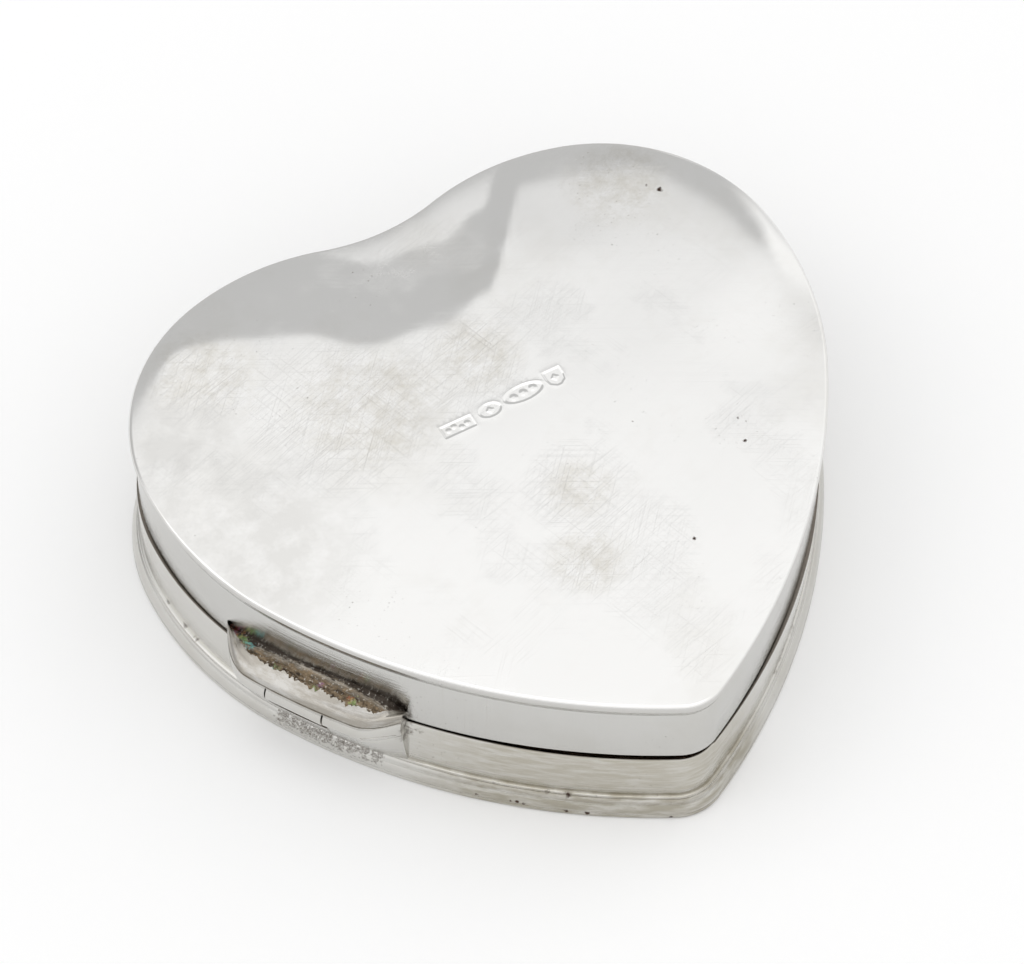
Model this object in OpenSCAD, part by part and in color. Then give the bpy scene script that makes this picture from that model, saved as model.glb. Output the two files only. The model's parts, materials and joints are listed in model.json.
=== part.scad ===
// Heart-shaped silver music box, stored closed and lying on its lid.
// +Z points up out of the bottom plate, the heart's tip points to -Y and the hinge is on the -X flank.

/* [Case] */
// Width of the heart outline at the split
box_w = 88; // [84:1:92]
// Height from the lid's face to the bottom plate's edge
box_h = 24; // [24:0.1:25]
// Height of the lid half
split_z = 12.05; // [12:0.05:12.3]
// Gap between the two halves
split_gap = 0.3; // [0.2:0.05:0.4]
// Thickness of the silver walls
wall_t = 0.6; // [0.5:0.05:0.7]
// Rise of the pillowed bottom plate over its edge
dome_h = 0.75; // [0.4:0.05:0.8]
// How far the bottom plate overhangs the base wall
plate_lip = 0.5; // [0.3:0.05:0.6]

/* [Outline] */
// Radius of the hollow cleft between the lobes
cleft_r = 28.3; // [26:0.1:30]
// Turn of the cleft arc on each side
cleft_deg = 16.5; // [15:0.5:18]
// Radius of the shoulder beside the cleft
shoulder_r = 32.3; // [31:0.1:34]
// Turn of the shoulder arc
shoulder_deg = 33.6; // [32:0.1:35]
// Radius of the lobe
lobe_r = 24.4; // [23:0.1:26]
// Turn of the lobe arc
lobe_deg = 68.7; // [67:0.1:70]
// Radius of the upper flank
flank_r = 43.9; // [42:0.1:46]
// Turn of the upper flank arc
flank_deg = 32.9; // [31:0.1:34]
// Radius of the lower flank
lower_r = 87.1; // [84:0.1:90]
// Turn of the lower flank arc
lower_deg = 33.7; // [32:0.1:35]

/* [Moulding and linings] */
// Projection of the rounded moulding round the lid
mould_out = 1.28; // [1:0.02:1.4]
// Height of the rounded moulding
mould_h = 3.6; // [3:0.1:4]
// Thickness of the sheet that closes the lid
panel_t = 0.8; // [0.6:0.1:1]
// Thickness of the velvet linings
lining_t = 1.1; // [0.8:0.1:1.4]

/* [Hinge] */
// Length of the hinge
hinge_len = 25.8; // [25:0.1:26.5]
// Outside radius of the hood
hood_r = 2.6; // [2.55:0.05:2.7]
// Distance of the pin from the wall
pin_out = 2.6; // [2.55:0.05:2.8]
// Radius of the hinge pin
pin_r = 0.75; // [0.6:0.05:0.9]
// Edge of the hood, as an angle above the horizontal
hood_edge = 47; // [46:1:50]
// Height at which the hood's top meets the wall, above the split
hood_rise = 3.6; // [3.4:0.1:3.8]

/* [Movement] */
// Height of the movement's cover above the bottom plate's edge
cover_z = 12.3; // [12.2:0.1:12.6]
// Teeth on the spring barrel's crown
barrel_teeth = 48; // [48:4:48]
// Teeth on the cylinder pinion
pinion_teeth = 20; // [20:1:20]
// Teeth on the cylinder wheel
wheel_teeth = 30; // [30:1:30]
// Teeth on the second pinion
second_teeth = 10; // [10:1:10]
// Teeth on the worm wheel
worm_teeth = 20; // [20:1:20]
// Teeth of the comb
comb_teeth = 18; // [12:1:20]
// Teeth on the ratchet wheel
ratchet_teeth = 24; // [24:4:24]
// Radius of the cylinder sleeve
cylinder_r = 3.3; // [3.1:0.1:3.4]
// Height of the pins on the cylinder
music_pin_h = 0.3; // [0.2:0.05:0.3]

/* [Hidden] */
$fn = 48;
eps = 0.01;
fit = 0.05;
step_deg = 4.5;

// ---- Heart outline: a chain of tangent arcs from the cleft to the tip, mirrored about X = 0 ----
// Each arc is [radius, turn, side], and side is +1 for a left turn and -1 for a right turn.
ARCS = [
  [cleft_r, cleft_deg, 1],
  [shoulder_r, shoulder_deg, -1],
  [lobe_r, lobe_deg, -1],
  [flank_r, flank_deg, -1],
  [lower_r, lower_deg, -1]
];
function normal(h) = [-sin(h), cos(h)];
function centre(p, h, a) = p + a[0] * a[2] * normal(h);
function on_arc(p, h, a, turn) = centre(p, h, a) - a[0] * a[2] * normal(h + a[2] * turn);
function arc_points(p, h, a, off) = [
  let (n = ceil(a[1] / step_deg))
  for (i = [1:n])
  let (turn = a[1] * i / n)
  on_arc(p, h, a, turn) + off * normal(h + a[2] * turn)
];
// Points of the arcs from number i on, then the tip arc that closes the chain on X = 0.
function chain(p, h, i, off) =
  i < len(ARCS)
  ? concat(arc_points(p, h, ARCS[i], off),
           chain(on_arc(p, h, ARCS[i], ARCS[i][1]), h + ARCS[i][2] * ARCS[i][1], i + 1, off))
  : arc_points(p, h, [-p[0] / sin(h), 180 + h, -1], off);
function half(off) = concat([[0, off]], chain([0, 0], 0, 0, off));
raw = half(0);
scale_k = box_w / (2 * max([for (p = raw) p[0]]));
shift_y = -(max([for (p = raw) p[1]]) + min([for (p = raw) p[1]])) / 2 * scale_k;
function heart(off) =
  let (h = [for (p = half(off / scale_k)) p * scale_k + [0, shift_y]], n = len(h))
  concat(h, [for (i = [n - 2:-1:1]) [-h[i][0], h[i][1]]]);
module heart_2d(off) {
  polygon(heart(off));
}
module heart_slab(off, z0, z1) {
  translate([0, 0, z0]) linear_extrude(z1 - z0) heart_2d(off);
}
module heart_ring(outer, inner, z0, z1) {
  translate([0, 0, z0]) linear_extrude(z1 - z0) difference() {
    heart_2d(outer);
    heart_2d(inner);
  }
}
// Carries a closed section of [offset, height] points round the outline.
module heart_sweep(section) {
  n = len(heart(0));
  m = len(section);
  points = [for (p = section) for (q = heart(p[0])) [q[0], q[1], p[1]]];
  faces = [for (j = [0:m - 1]) for (i = [0:n - 1])
    [j * n + i, j * n + (i + 1) % n, (j + 1) % m * n + (i + 1) % n, (j + 1) % m * n + i]];
  polyhedron(points, faces, convexity = 10);
}
// The outline's point where the hinge touches, early on the lower flank of the -X side.
hinge_head = 3;
function arc_start(i) = i == 0 ? [[0, 0], 0]
  : let (s = arc_start(i - 1), a = ARCS[i - 1])
    [on_arc(s[0], s[1], a, a[1]), s[1] + a[2] * a[1]];
lower_start = arc_start(4);
touch_raw = on_arc(lower_start[0], lower_start[1], ARCS[4], hinge_head);
hinge_turn = -(lower_start[1] - hinge_head) - 90;
touch = [-touch_raw[0] * scale_k, touch_raw[1] * scale_k + shift_y];

// ---- Frames ----
// Base frame: heights run from the bottom plate's edge plane into the box.
module from_base(z = 0) {
  translate([0, 0, box_h - z]) mirror([0, 0, 1]) children();
}
// Hinge frame: X points out of the wall, Y along the pin towards the tip, Z up, origin on the pin.
module hinge_frame() {
  translate([touch[0], touch[1], split_z]) rotate(180 + hinge_turn) translate([pin_out, 0, 0]) children();
}
module along_y(y0, y1) {
  translate([0, y1, 0]) rotate([90, 0, 0]) linear_extrude(y1 - y0) children();
}
module along_x(x0, x1) {
  translate([x0, 0, 0]) rotate([0, 90, 0]) linear_extrude(x1 - x0) children();
}
module disc(r, z0, z1) {
  translate([0, 0, z0]) cylinder(r = r, h = z1 - z0);
}
module block(x0, x1, y0, y1, z0, z1) {
  translate([x0, y0, z0]) cube([x1 - x0, y1 - y0, z1 - z0]);
}

// ---- Case: lid ----
lining_inset = wall_t + 0.25;
lid_top = split_z - split_gap / 2;
base_low = split_z + split_gap / 2;
module lid_wall() color("silver")
  heart_ring(0, -wall_t, panel_t, lid_top);
module lid_panel() color("silver")
  heart_slab(0, 0, panel_t);
// Section of the moulding, from its foot up its rounded face to its top: [projection, height] as shares.
MOULDING = [
  [0.72, 0], [0.93, 0.05], [1, 0.2], [0.95, 0.45], [0.78, 0.7], [0.5, 0.88], [0.28, 0.94], [0.28, 1]
];
module lid_moulding() color("silver")
  heart_sweep(concat([[0, 0]], [for (p = MOULDING) [p[0] * mould_out, p[1] * mould_h]], [[0, mould_h]]));
module lid_lining() color("darkred")
  heart_slab(-lining_inset, panel_t, panel_t + lining_t);

// ---- Case: hinge ----
tube_r = 2.0;
hood_gap = 0.15;
hinge_end = hinge_len / 2;
// Ends of the base's knuckle along the pin. The lid's two knuckles fill the rest.
middle_knuckle = [-4.33, 3.43];
knuckle_gap = 0.15;
pin_y = [-9.2, 10];
// Outline of the closed hinge from above: X from the pin outwards, Y along the pin.
PLAN = [
  [-6, -hinge_end], [-2.9, -hinge_end], [-0.25, 2.4 - hinge_end], [1.2, 4.1 - hinge_end],
  [2.8, 6.8 - hinge_end], [2.8, hinge_end - 5], [1.5, hinge_end - 3.4], [0.7, hinge_end - 2.3],
  [-1.4, hinge_end], [-6, hinge_end]
];
// Outline of the closed hinge from the side: distance along the pin, height above the split.
FRONT = [
  [-hinge_end, -box_h], [-hinge_end, 1.3], [1.4 - hinge_end, 2.6], [3.9 - hinge_end, 4.6],
  [hinge_end - 3, 4.6], [hinge_end - 0.8, 2.9], [hinge_end, 1.7], [hinge_end, -box_h]
];
// Trims a hinge leaf to the outline of the hinge and to the wall's outside face.
module trimmed() {
  difference() {
    hinge_frame() intersection() {
      children();
      translate([0, 0, -box_h]) linear_extrude(2 * box_h) polygon(PLAN);
      rotate([90, 0, 90]) translate([0, 0, -box_h]) linear_extrude(2 * box_h) polygon(FRONT);
    }
    heart_slab(0, 0, box_h);
  }
}
stop_low = -60;
// Apron below the pin: its upper edge is the stop on which the hood's edge lands.
module apron_profile() {
  polygon([
    [-pin_out - 2.5, -split_gap / 2], [0, -split_gap / 2], tube_r * [cos(stop_low), sin(stop_low)],
    (tube_r + 0.35) * [cos(stop_low - 1), sin(stop_low - 1)],
    [0.9 - pin_out, mould_h - split_z], [-pin_out - 2.5, mould_h - split_z]
  ]);
}
module lid_hinge_leaf() color("silver")
  trimmed() difference() {
    union() {
      along_y(-hinge_end, hinge_end) apron_profile();
      along_y(-hinge_end, hinge_end) circle(tube_r);
    }
    along_y(middle_knuckle[0] - knuckle_gap, middle_knuckle[1] + knuckle_gap) circle(tube_r + 0.12);
    along_y(pin_y[0], pin_y[1]) circle(pin_r);
  }
module hinge_pin() color("gray")
  hinge_frame() along_y(pin_y[0], pin_y[1]) circle(pin_r);
// The hood's top runs from the wall to where it is tangent to the hood's rounded edge.
hood_tangent = atan2(hood_rise, -pin_out) - acos(hood_r / norm([pin_out, hood_rise]));
module hood_profile() {
  difference() {
    union() {
      circle(hood_r);
      polygon([
        [-pin_out - 2.5, 0], [-pin_out - 2.5, hood_rise], [-pin_out, hood_rise],
        hood_r * [cos(hood_tangent), sin(hood_tangent)], [0, 0]
      ]);
    }
    translate([-3 * hood_r, split_gap / 2 - 3 * hood_r]) square([6 * hood_r, 3 * hood_r]);
    rotate(hood_edge - 90) square(2 * hood_r);
  }
}
module base_hinge_leaf() color("silver")
  trimmed() difference() {
    union() {
      difference() {
        along_y(-hinge_end, hinge_end) hood_profile();
        along_y(-hinge_end - 1, middle_knuckle[0]) circle(tube_r + hood_gap);
        along_y(middle_knuckle[1], hinge_end + 1) circle(tube_r + hood_gap);
      }
      along_y(middle_knuckle[0], middle_knuckle[1]) circle(tube_r);
    }
    along_y(pin_y[0], pin_y[1]) circle(pin_r + fit);
  }

// ---- Case: base ----
module base_wall() color("silver")
  heart_ring(0, -wall_t, base_low, box_h - 0.8);
// Rings of the pillowed plate: [share of the outline's size, height above the plate's underside].
PILLOW = [[1, 0], [1, 0.72], [0.992, 0.86], [0.965, 1.0], [0.9, 1.22], [0.8, 1.42], [0.66, 1.55]];
plate_t = 0.8;
module base_plate() color("silver") {
  ring = heart(plate_lip);
  n = len(ring);
  m = len(PILLOW);
  rise = (plate_t + dome_h) / PILLOW[m - 1][1];
  points = [for (k = PILLOW) for (p = ring) [p[0] * k[0], p[1] * k[0], box_h - plate_t + k[1] * rise]];
  sides = [for (j = [0:m - 2]) for (i = [0:n - 1])
    [j * n + i, (j + 1) * n + i, (j + 1) * n + (i + 1) % n, j * n + (i + 1) % n]];
  low = [for (i = [0:n - 1]) i];
  high = [for (i = [0:n - 1]) m * n - 1 - i];
  polyhedron(points, concat([low], sides, [high]), convexity = 4);
}
bezel_top = 13.4;
bezel_in = wall_t + 0.65;
module base_bezel() color("silver")
  from_base() {
    heart_ring(-wall_t, -bezel_in, 8.5, box_h - base_low);
    heart_ring(-wall_t - 0.25, -bezel_in, box_h - base_low - eps, bezel_top);
  }
bay_y = -8;
part_t = 0.6;
module strip(y0, y1) {
  translate([-box_w, y0]) square([2 * box_w, y1 - y0]);
}
module bay_partition() color("silver")
  from_base(plate_t) linear_extrude(cover_z - plate_t) intersection() {
    heart_2d(-bezel_in);
    strip(bay_y - part_t, bay_y);
  }
module tray_lining() color("darkred")
  from_base(plate_t) linear_extrude(lining_t) intersection() {
    heart_2d(-bezel_in - 0.15);
    strip(-box_w, bay_y - part_t - 0.2);
  }
side_lining_t = 0.7;
module tray_side_lining() color("darkred")
  from_base(plate_t + lining_t + 0.1) linear_extrude(9.2) difference() {
    intersection() {
      heart_2d(-bezel_in - 0.05);
      strip(-box_w, bay_y - part_t - 0.05);
    }
    intersection() {
      heart_2d(-bezel_in - side_lining_t);
      strip(-box_w, bay_y - part_t - side_lining_t);
    }
  }

// ---- Movement cover ----
cover_t = 0.8;
POSTS = [[-35, 14], [35, 14], [-20, 32.5], [20, 32.5]];
post_r = 1.5;
screw_r = 0.6;
arbor_at = [-14, 14];
fan_at = [22.4, 21.84];
slide_travel = 2.5;
module movement_cover() color("lightcyan", 0.4)
  from_base(cover_z) linear_extrude(cover_t) difference() {
    intersection() {
      heart_2d(-bezel_in - 0.1);
      strip(bay_y - part_t, box_w);
    }
    for (p = POSTS) translate(p) circle(screw_r);
    translate(arbor_at) circle(2.6);
    translate(fan_at + [2.6, -0.75]) square([4.6, 1.5]);
  }
module cover_posts() color("silver")
  from_base(plate_t) for (p = POSTS) translate(p) difference() {
    disc(post_r, 0, cover_z - plate_t);
    disc(screw_r, cover_z - plate_t - 3, cover_z);
  }
module screw(shank, head_r, head_h) {
  difference() {
    union() {
      disc(head_r, 0, head_h);
      disc(screw_r, -shank, eps);
    }
    block(-head_r - 1, head_r + 1, -0.15, 0.15, head_h - 0.3, head_h + 1);
  }
}
module cover_screws() color("goldenrod")
  from_base(cover_z + cover_t) for (p = POSTS) translate(p) rotate(p[0] * 3) screw(3, 1.4, 0.7);

// ---- Movement: frame ----
bed_z = 1.6;
bed_t = 1.2;
bed_top = bed_z + bed_t;
bed_x = [-26.5, 27];
bed_y = [-4, 29.5];
BED_SCREWS = [[-24, -1.5], [24.5, -1.5], [-24, 27], [10, 27]];
PILLARS = [[arbor_at[0], 1.6], [arbor_at[0], 26.4]];
axis_z = 7.85;
axis_y = arbor_at[1];
second_dy = 4.514;
second_z = axis_z - 2.15;
module bedplate() color("goldenrod")
  from_base(bed_z) difference() {
    block(bed_x[0], bed_x[1], bed_y[0], bed_y[1], 0, bed_t);
    for (p = BED_SCREWS) translate(p) disc(screw_r, -1, bed_t + 1);
    translate(arbor_at) disc(1.2 + fit, -1, bed_t + 1);
    translate(fan_at) disc(0.35 + 0.03, -1, bed_t + 1);
  }
module bedplate_posts() color("silver")
  from_base(plate_t) for (p = BED_SCREWS) translate(p) disc(2, 0, bed_z - plate_t);
module bedplate_screws() color("gray")
  from_base(bed_top) for (p = BED_SCREWS) translate(p) rotate(40 + p[0]) screw(bed_t, 1.2, 0.7);

// ---- Movement: spring barrel and winding ----
crown_m = 0.375;
crown_pitch_z = 4.1;
crown_root_z = 3.7;
drum_r = 7.9;
drum_z = [3.1, 9.3];
// Half width of a crown tooth at height z above the pitch plane, at the pitch radius.
function crown_half(z) = crown_m * PI / 4 - 0.05 - z * tan(20);
module crown_tooth() {
  r = barrel_teeth * crown_m / 2;
  rotate([90, 0, 90]) translate([0, 0, r - 0.7]) linear_extrude(1.4) polygon([
    [-crown_half(-0.42), -0.42], [crown_half(-0.42), -0.42],
    [crown_half(0.28), 0.28], [-crown_half(0.28), 0.28]
  ]);
}
module barrel_drum() color("goldenrod")
  from_base() translate(arbor_at) difference() {
    union() {
      disc(drum_r, drum_z[0], drum_z[1] - 0.5);
      disc(9.9, drum_z[0], crown_root_z);
      for (i = [0:barrel_teeth - 1])
        translate([0, 0, crown_pitch_z]) rotate(i * 360 / barrel_teeth) crown_tooth();
    }
    disc(drum_r - 0.6, drum_z[0] + 0.6, drum_z[1]);
    disc(2.0 + fit, drum_z[0] - 1, drum_z[1]);
  }
module barrel_cap() color("goldenrod")
  from_base() translate(arbor_at) difference() {
    disc(drum_r, drum_z[1] - 0.5, drum_z[1]);
    disc(2.0 + fit, 0, box_h);
  }
// Mainspring: a flat strip wound in a spiral from the drum's wall to the arbor's hub.
spring_turns = 5;
spring_steps = 20;
spring_t = 0.24;
function coil(side) = [
  for (i = [0:spring_turns * spring_steps])
  let (a = i * 360 / spring_steps, r = 7.15 - 4.8 * i / (spring_turns * spring_steps) + side * spring_t / 2)
  r * [cos(a), sin(a)]
];
function reversed(list) = [for (i = [len(list) - 1:-1:0]) list[i]];
module mainspring() color("steelblue")
  from_base() translate([arbor_at[0], arbor_at[1], drum_z[0] + 0.9]) linear_extrude(4.4)
    polygon(concat(coil(1), reversed(coil(-1))));
module winding_arbor() color("gray")
  from_base() translate(arbor_at) {
    disc(1.2, bed_z + 0.2, drum_z[0] - 0.1);
    disc(2.0, drum_z[0] - 0.1, drum_z[1] + 0.15);
    disc(1.2, drum_z[1] + 0.15, 13.2);
  }
bridge_z = [9.6, 10.8];
ratchet_z = [10.95, 11.6];
ratchet_r = 3.3;
module ratchet_wheel() color("gray")
  from_base() translate([arbor_at[0], arbor_at[1], ratchet_z[0]]) linear_extrude(ratchet_z[1] - ratchet_z[0])
    difference() {
      polygon([for (i = [0:ratchet_teeth - 1]) for (k = [0, 1])
        let (a = (i + k * 0.12) * 360 / ratchet_teeth, r = ratchet_r - (k == 0 ? 0.45 : 0))
        r * [cos(a), sin(a)]]);
      circle(1.2);
    }
module barrel_bridge() color("goldenrod")
  from_base() translate([0, 0, bridge_z[0]]) linear_extrude(bridge_z[1] - bridge_z[0]) difference() {
    union() {
      translate([arbor_at[0] - 3.5, PILLARS[0][1]]) square([7, PILLARS[1][1] - PILLARS[0][1]]);
      for (p = PILLARS) translate(p) circle(3.5);
    }
    translate(arbor_at) circle(1.2 + fit);
    for (p = PILLARS) translate(p) circle(screw_r);
    translate(CLICK_AT) circle(0.5);
  }
module bridge_pillars() color("goldenrod")
  from_base() for (p = PILLARS) translate(p) difference() {
    disc(1.6, bed_top, bridge_z[0]);
    disc(screw_r, bridge_z[0] - 2.5, bridge_z[0] + 1);
  }
module bridge_screws() color("steelblue")
  from_base(bridge_z[1]) for (p = PILLARS)
    translate(p) rotate(25 * p[1]) screw(bridge_z[1] - bridge_z[0] + 2, 1.3, 0.7);
CLICK_AT = [arbor_at[0] + 2.3, arbor_at[1] + 5.7];
// Click: a ring on its screw and a pawl whose tip lies just outside the ratchet's teeth.
module click() color("gray")
  from_base() translate([0, 0, ratchet_z[0] + 0.05]) linear_extrude(0.5) difference() {
    union() {
      translate(CLICK_AT) circle(1.1);
      polygon([
        CLICK_AT + [-1.0, 0.4], CLICK_AT + [0.6, -0.9], arbor_at + [-0.35, 3.42], arbor_at + [-0.6, 3.9]
      ]);
    }
    translate(CLICK_AT) circle(0.5 + fit);
  }
module click_screw() color("steelblue")
  from_base() translate(CLICK_AT) {
    disc(0.5, bridge_z[0], ratchet_z[1]);
    disc(1.0, ratchet_z[1], ratchet_z[1] + 0.4);
  }
module click_spring() color("steelblue")
  from_base(bridge_z[1]) {
    translate(arbor_at + [-1.2, 8.6]) disc(0.8, 0, 0.7);
    translate(arbor_at + [-1.2, 8.6]) rotate(-112) block(0, 3.8, -0.1, 0.1, 0.1, 0.7);
  }

// ---- Movement: folding winding key ----
boss_z = [13.2, 15.2];
wing_z = 14.45;
wing_len = 6.4;
module key_boss() color("goldenrod")
  from_base() translate(arbor_at) difference() {
    disc(2.3, boss_z[0], boss_z[1]);
    block(-0.55, 0.55, -3, 3, 13.75, 16);
    translate([0, 0, wing_z]) along_x(-3, 3) circle(0.35);
  }
module key_pin() color("gray")
  from_base() translate([arbor_at[0], arbor_at[1], wing_z]) along_x(-2.1, 2.1) circle(0.35);
// The key lies flat towards +Y and stands up along the arbor when unfolded.
module folding_key() color("goldenrod")
  from_base(wing_z) translate(arbor_at) difference() {
    union() {
      along_x(-0.45, 0.45) circle(0.65);
      block(-0.45, 0.45, 0, 3.5, -0.4, 0.4);
      translate([0, 4.6, -0.4]) linear_extrude(0.8) union() {
        for (s = [-1, 1]) translate([s * 3.1, 0]) circle(1.8);
        translate([-3.1, -1.3]) square([6.2, 2.6]);
      }
    }
    along_x(-3, 3) circle(0.35 + fit);
    for (s = [-1, 1]) translate([s * 3.1, 4.6, 0]) disc(0.8, -1, 1);
  }

// ---- Movement: cylinder ----
// Tooth corners in order: root, pitch, tip on one flank, then tip, pitch, root on the other.
function tooth(r, top, root, w) = [
  [r - root, -1.45 * w], [r, -w], [r + top, -0.5 * w], [r + top, 0.5 * w], [r, w], [r - root, 1.45 * w]
];
// Outline of a spur gear of n teeth and module m, with one tooth centred on angle phase.
function spur(n, m, top, root, slack, phase) = [
  for (i = [0:n - 1])
  let (r = n * m / 2, w = 90 / n - slack * 180 / PI / r)
  for (c = tooth(r, top, root, w)) c[0] * [cos(phase + i * 360 / n + c[1]), sin(phase + i * 360 / n + c[1])]
];
cyl_x = [-2.4, 17.6];
pinion_x = [-5.55, -4.45];
wheel_x = [18.2, 19.2];
left_x = [-3.9, -2.9];
right_x = [19.7, 20.7];
shaft_r = 0.9;
mesh_angle = atan2(second_dy, axis_z - second_z);
module on_cylinder() {
  from_base() translate([0, axis_y, axis_z]) children();
}
module cylinder_sleeve() color("goldenrod")
  on_cylinder() difference() {
    union() {
      along_x(cyl_x[0], cyl_x[1]) circle(cylinder_r);
      for (i = [0:comb_teeth - 1]) for (k = [0:2])
        translate([tooth_x(i), 0, 0]) rotate([20 + (i * 97 + k * 131) % 320, 0, 0])
          disc(0.16, cylinder_r - 0.3, cylinder_r + music_pin_h, $fn = 14);
    }
    along_x(cyl_x[0] - 1, cyl_x[1] + 1) circle(shaft_r);
  }
module cylinder_arbor() color("gray")
  on_cylinder() along_x(pinion_x[0], right_x[1] + 0.4) circle(shaft_r);
module cylinder_pinion() color("goldenrod")
  on_cylinder() along_x(pinion_x[0], pinion_x[1]) difference() {
    polygon(spur(pinion_teeth, crown_m, 0.28, 0.42, 0.04, 180 / pinion_teeth));
    circle(shaft_r);
  }
module cylinder_wheel() color("goldenrod")
  on_cylinder() along_x(wheel_x[0], wheel_x[1]) difference() {
    polygon(spur(wheel_teeth, 0.25, 0.2, 0.3, 0.03, mesh_angle));
    circle(shaft_r);
  }
BEARING_SCREWS = [[-1.0, 20.2], [22.6, 9.6], [22.9, 13.6]];
module bearing_left() color("goldenrod")
  from_base(bed_top) difference() {
    union() {
      block(left_x[0], left_x[1], axis_y - 2.4, 21.8, 0, 3.4);
      block(left_x[0], left_x[1], axis_y - 2.4, axis_y + 2.4, 0, axis_z - bed_top);
      translate([0, axis_y, axis_z - bed_top]) along_x(left_x[0], left_x[1]) circle(2.4);
      block(left_x[0], 1, 18.4, 22, 0, 1);
    }
    translate([0, axis_y, axis_z - bed_top]) along_x(left_x[0] - 1, left_x[1] + 1) circle(shaft_r + fit);
    translate(BEARING_SCREWS[0]) disc(screw_r, -1, 2);
  }
module bearing_right() color("goldenrod")
  from_base(bed_top) difference() {
    union() {
      block(right_x[0], right_x[1], 8, axis_y + 6.6, 0, second_z - bed_top + 1.6);
      block(right_x[0], right_x[1], axis_y - 2.4, axis_y + 2.4, 0, axis_z - bed_top);
      translate([0, axis_y, axis_z - bed_top]) along_x(right_x[0], right_x[1]) circle(2.4);
      block(right_x[0], 24.4, 8, 11.2, 0, 1);
    }
    translate([0, axis_y, axis_z - bed_top]) along_x(right_x[0] - 1, right_x[1] + 1) circle(shaft_r + fit);
    translate([0, axis_y + second_dy, second_z - bed_top]) along_x(right_x[0] - 1, right_x[1] + 1)
      circle(0.5 + fit);
    translate(BEARING_SCREWS[1]) disc(screw_r, -1, 2);
  }
module bearing_screws() color("steelblue")
  from_base(bed_top + 1) for (p = BEARING_SCREWS) translate(p) rotate(30 * p[0]) screw(1, 1.1, 0.6);

// ---- Movement: comb ----
comb_x = [cyl_x[0] + 0.2, cyl_x[1] - 0.2];
comb_pitch = (comb_x[1] - comb_x[0]) / comb_teeth;
comb_tip = axis_y - cylinder_r - music_pin_h - 0.06;
comb_back = -1.6;
comb_root = 3.4;
comb_t = 0.8;
COMB_SCREWS = [for (k = [0:2]) [comb_x[0] + 2.6 + k * (comb_x[1] - comb_x[0] - 5.2) / 2, 0.9]];
function tooth_x(i) = comb_x[0] + (i + 0.5) * comb_pitch;
module comb() color("lightsteelblue")
  from_base(axis_z - comb_t / 2) difference() {
    block(comb_x[0], comb_x[1], comb_back, comb_tip, 0, comb_t);
    for (i = [1:comb_teeth - 1])
      block(comb_x[0] + i * comb_pitch - 0.14, comb_x[0] + i * comb_pitch + 0.14,
            comb_root + 1.6 * i / comb_teeth, comb_tip + 1, -1, comb_t + 1);
    for (p = COMB_SCREWS) translate(p) disc(screw_r, -1, comb_t + 1);
  }
module comb_heel() color("goldenrod")
  from_base(bed_top) difference() {
    block(comb_x[0], comb_x[1], comb_back - 0.4, comb_root - 0.3, 0, axis_z - comb_t / 2 - bed_top);
    for (p = COMB_SCREWS) translate(p) disc(screw_r, 1, box_h);
  }
module comb_screws() color("steelblue")
  from_base(axis_z + comb_t / 2) for (p = COMB_SCREWS) translate(p) rotate(20 * p[0]) screw(3, 1.2, 0.8);

// ---- Movement: governor ----
worm_m = 0.25;
wheel2_x = [22.0, 22.8];
side_x = [24.2, 25.0];
module on_second() {
  from_base() translate([0, axis_y + second_dy, second_z]) children();
}
module second_arbor() color("gray")
  on_second() along_x(wheel_x[0] - 0.6, side_x[1]) circle(0.5);
module second_pinion() color("gray")
  on_second() along_x(wheel_x[0] - 0.1, wheel_x[1] + 0.1) difference() {
    polygon(spur(second_teeth, worm_m, 0.2, 0.3, 0.03, mesh_angle + 180 + 180 / second_teeth));
    circle(0.5);
  }
module worm_wheel() color("goldenrod")
  on_second() along_x(wheel2_x[0], wheel2_x[1]) difference() {
    polygon(spur(worm_teeth, worm_m, 0.2, 0.3, 0.05, 90));
    circle(0.5);
  }
module governor_plate() color("goldenrod")
  from_base(bed_top) difference() {
    union() {
      block(side_x[0], side_x[1], 12.2, axis_y + second_dy + 1.8, 0, second_z - bed_top + 1.6);
      block(21.2, side_x[1], 12.2, 15.2, 0, 1);
    }
    translate([0, axis_y + second_dy, second_z - bed_top]) along_x(side_x[0] - 1, side_x[1] + 1)
      circle(0.5 + fit);
    translate(BEARING_SCREWS[2]) disc(screw_r, -1, 2);
  }
cock_z = [11.25, 12.0];
module governor_cock() color("goldenrod")
  from_base() difference() {
    union() {
      block(19.6, 25.2, 26.6, 28.6, bed_top, cock_z[1]);
      block(21.3, 23.5, fan_at[1] - 1.2, 26.6 + eps, cock_z[0], cock_z[1]);
    }
    translate(fan_at) disc(0.35 + 0.03, cock_z[0] - 1, cock_z[1] + 1);
  }
worm_z = [4.3, 7.1];
worm_pitch = PI * worm_m;
module worm_shaft() color("gray")
  from_base() translate(fan_at) {
    disc(0.35, bed_z + 0.1, bed_top + 0.1);
    disc(0.5, bed_top + 0.1, worm_z[0]);
    disc(0.5, worm_z[1], fan_z[0]);
    disc(0.35, fan_z[0], cock_z[1] - 0.1);
  }
module worm_thread() color("gray")
  from_base() translate([fan_at[0], fan_at[1], worm_z[0]]) rotate(thread_phase)
    linear_extrude(worm_z[1] - worm_z[0], twist = -360 * (worm_z[1] - worm_z[0]) / worm_pitch, slices = 40)
      translate([0.2, 0]) circle(0.7, $fn = 14);
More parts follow.
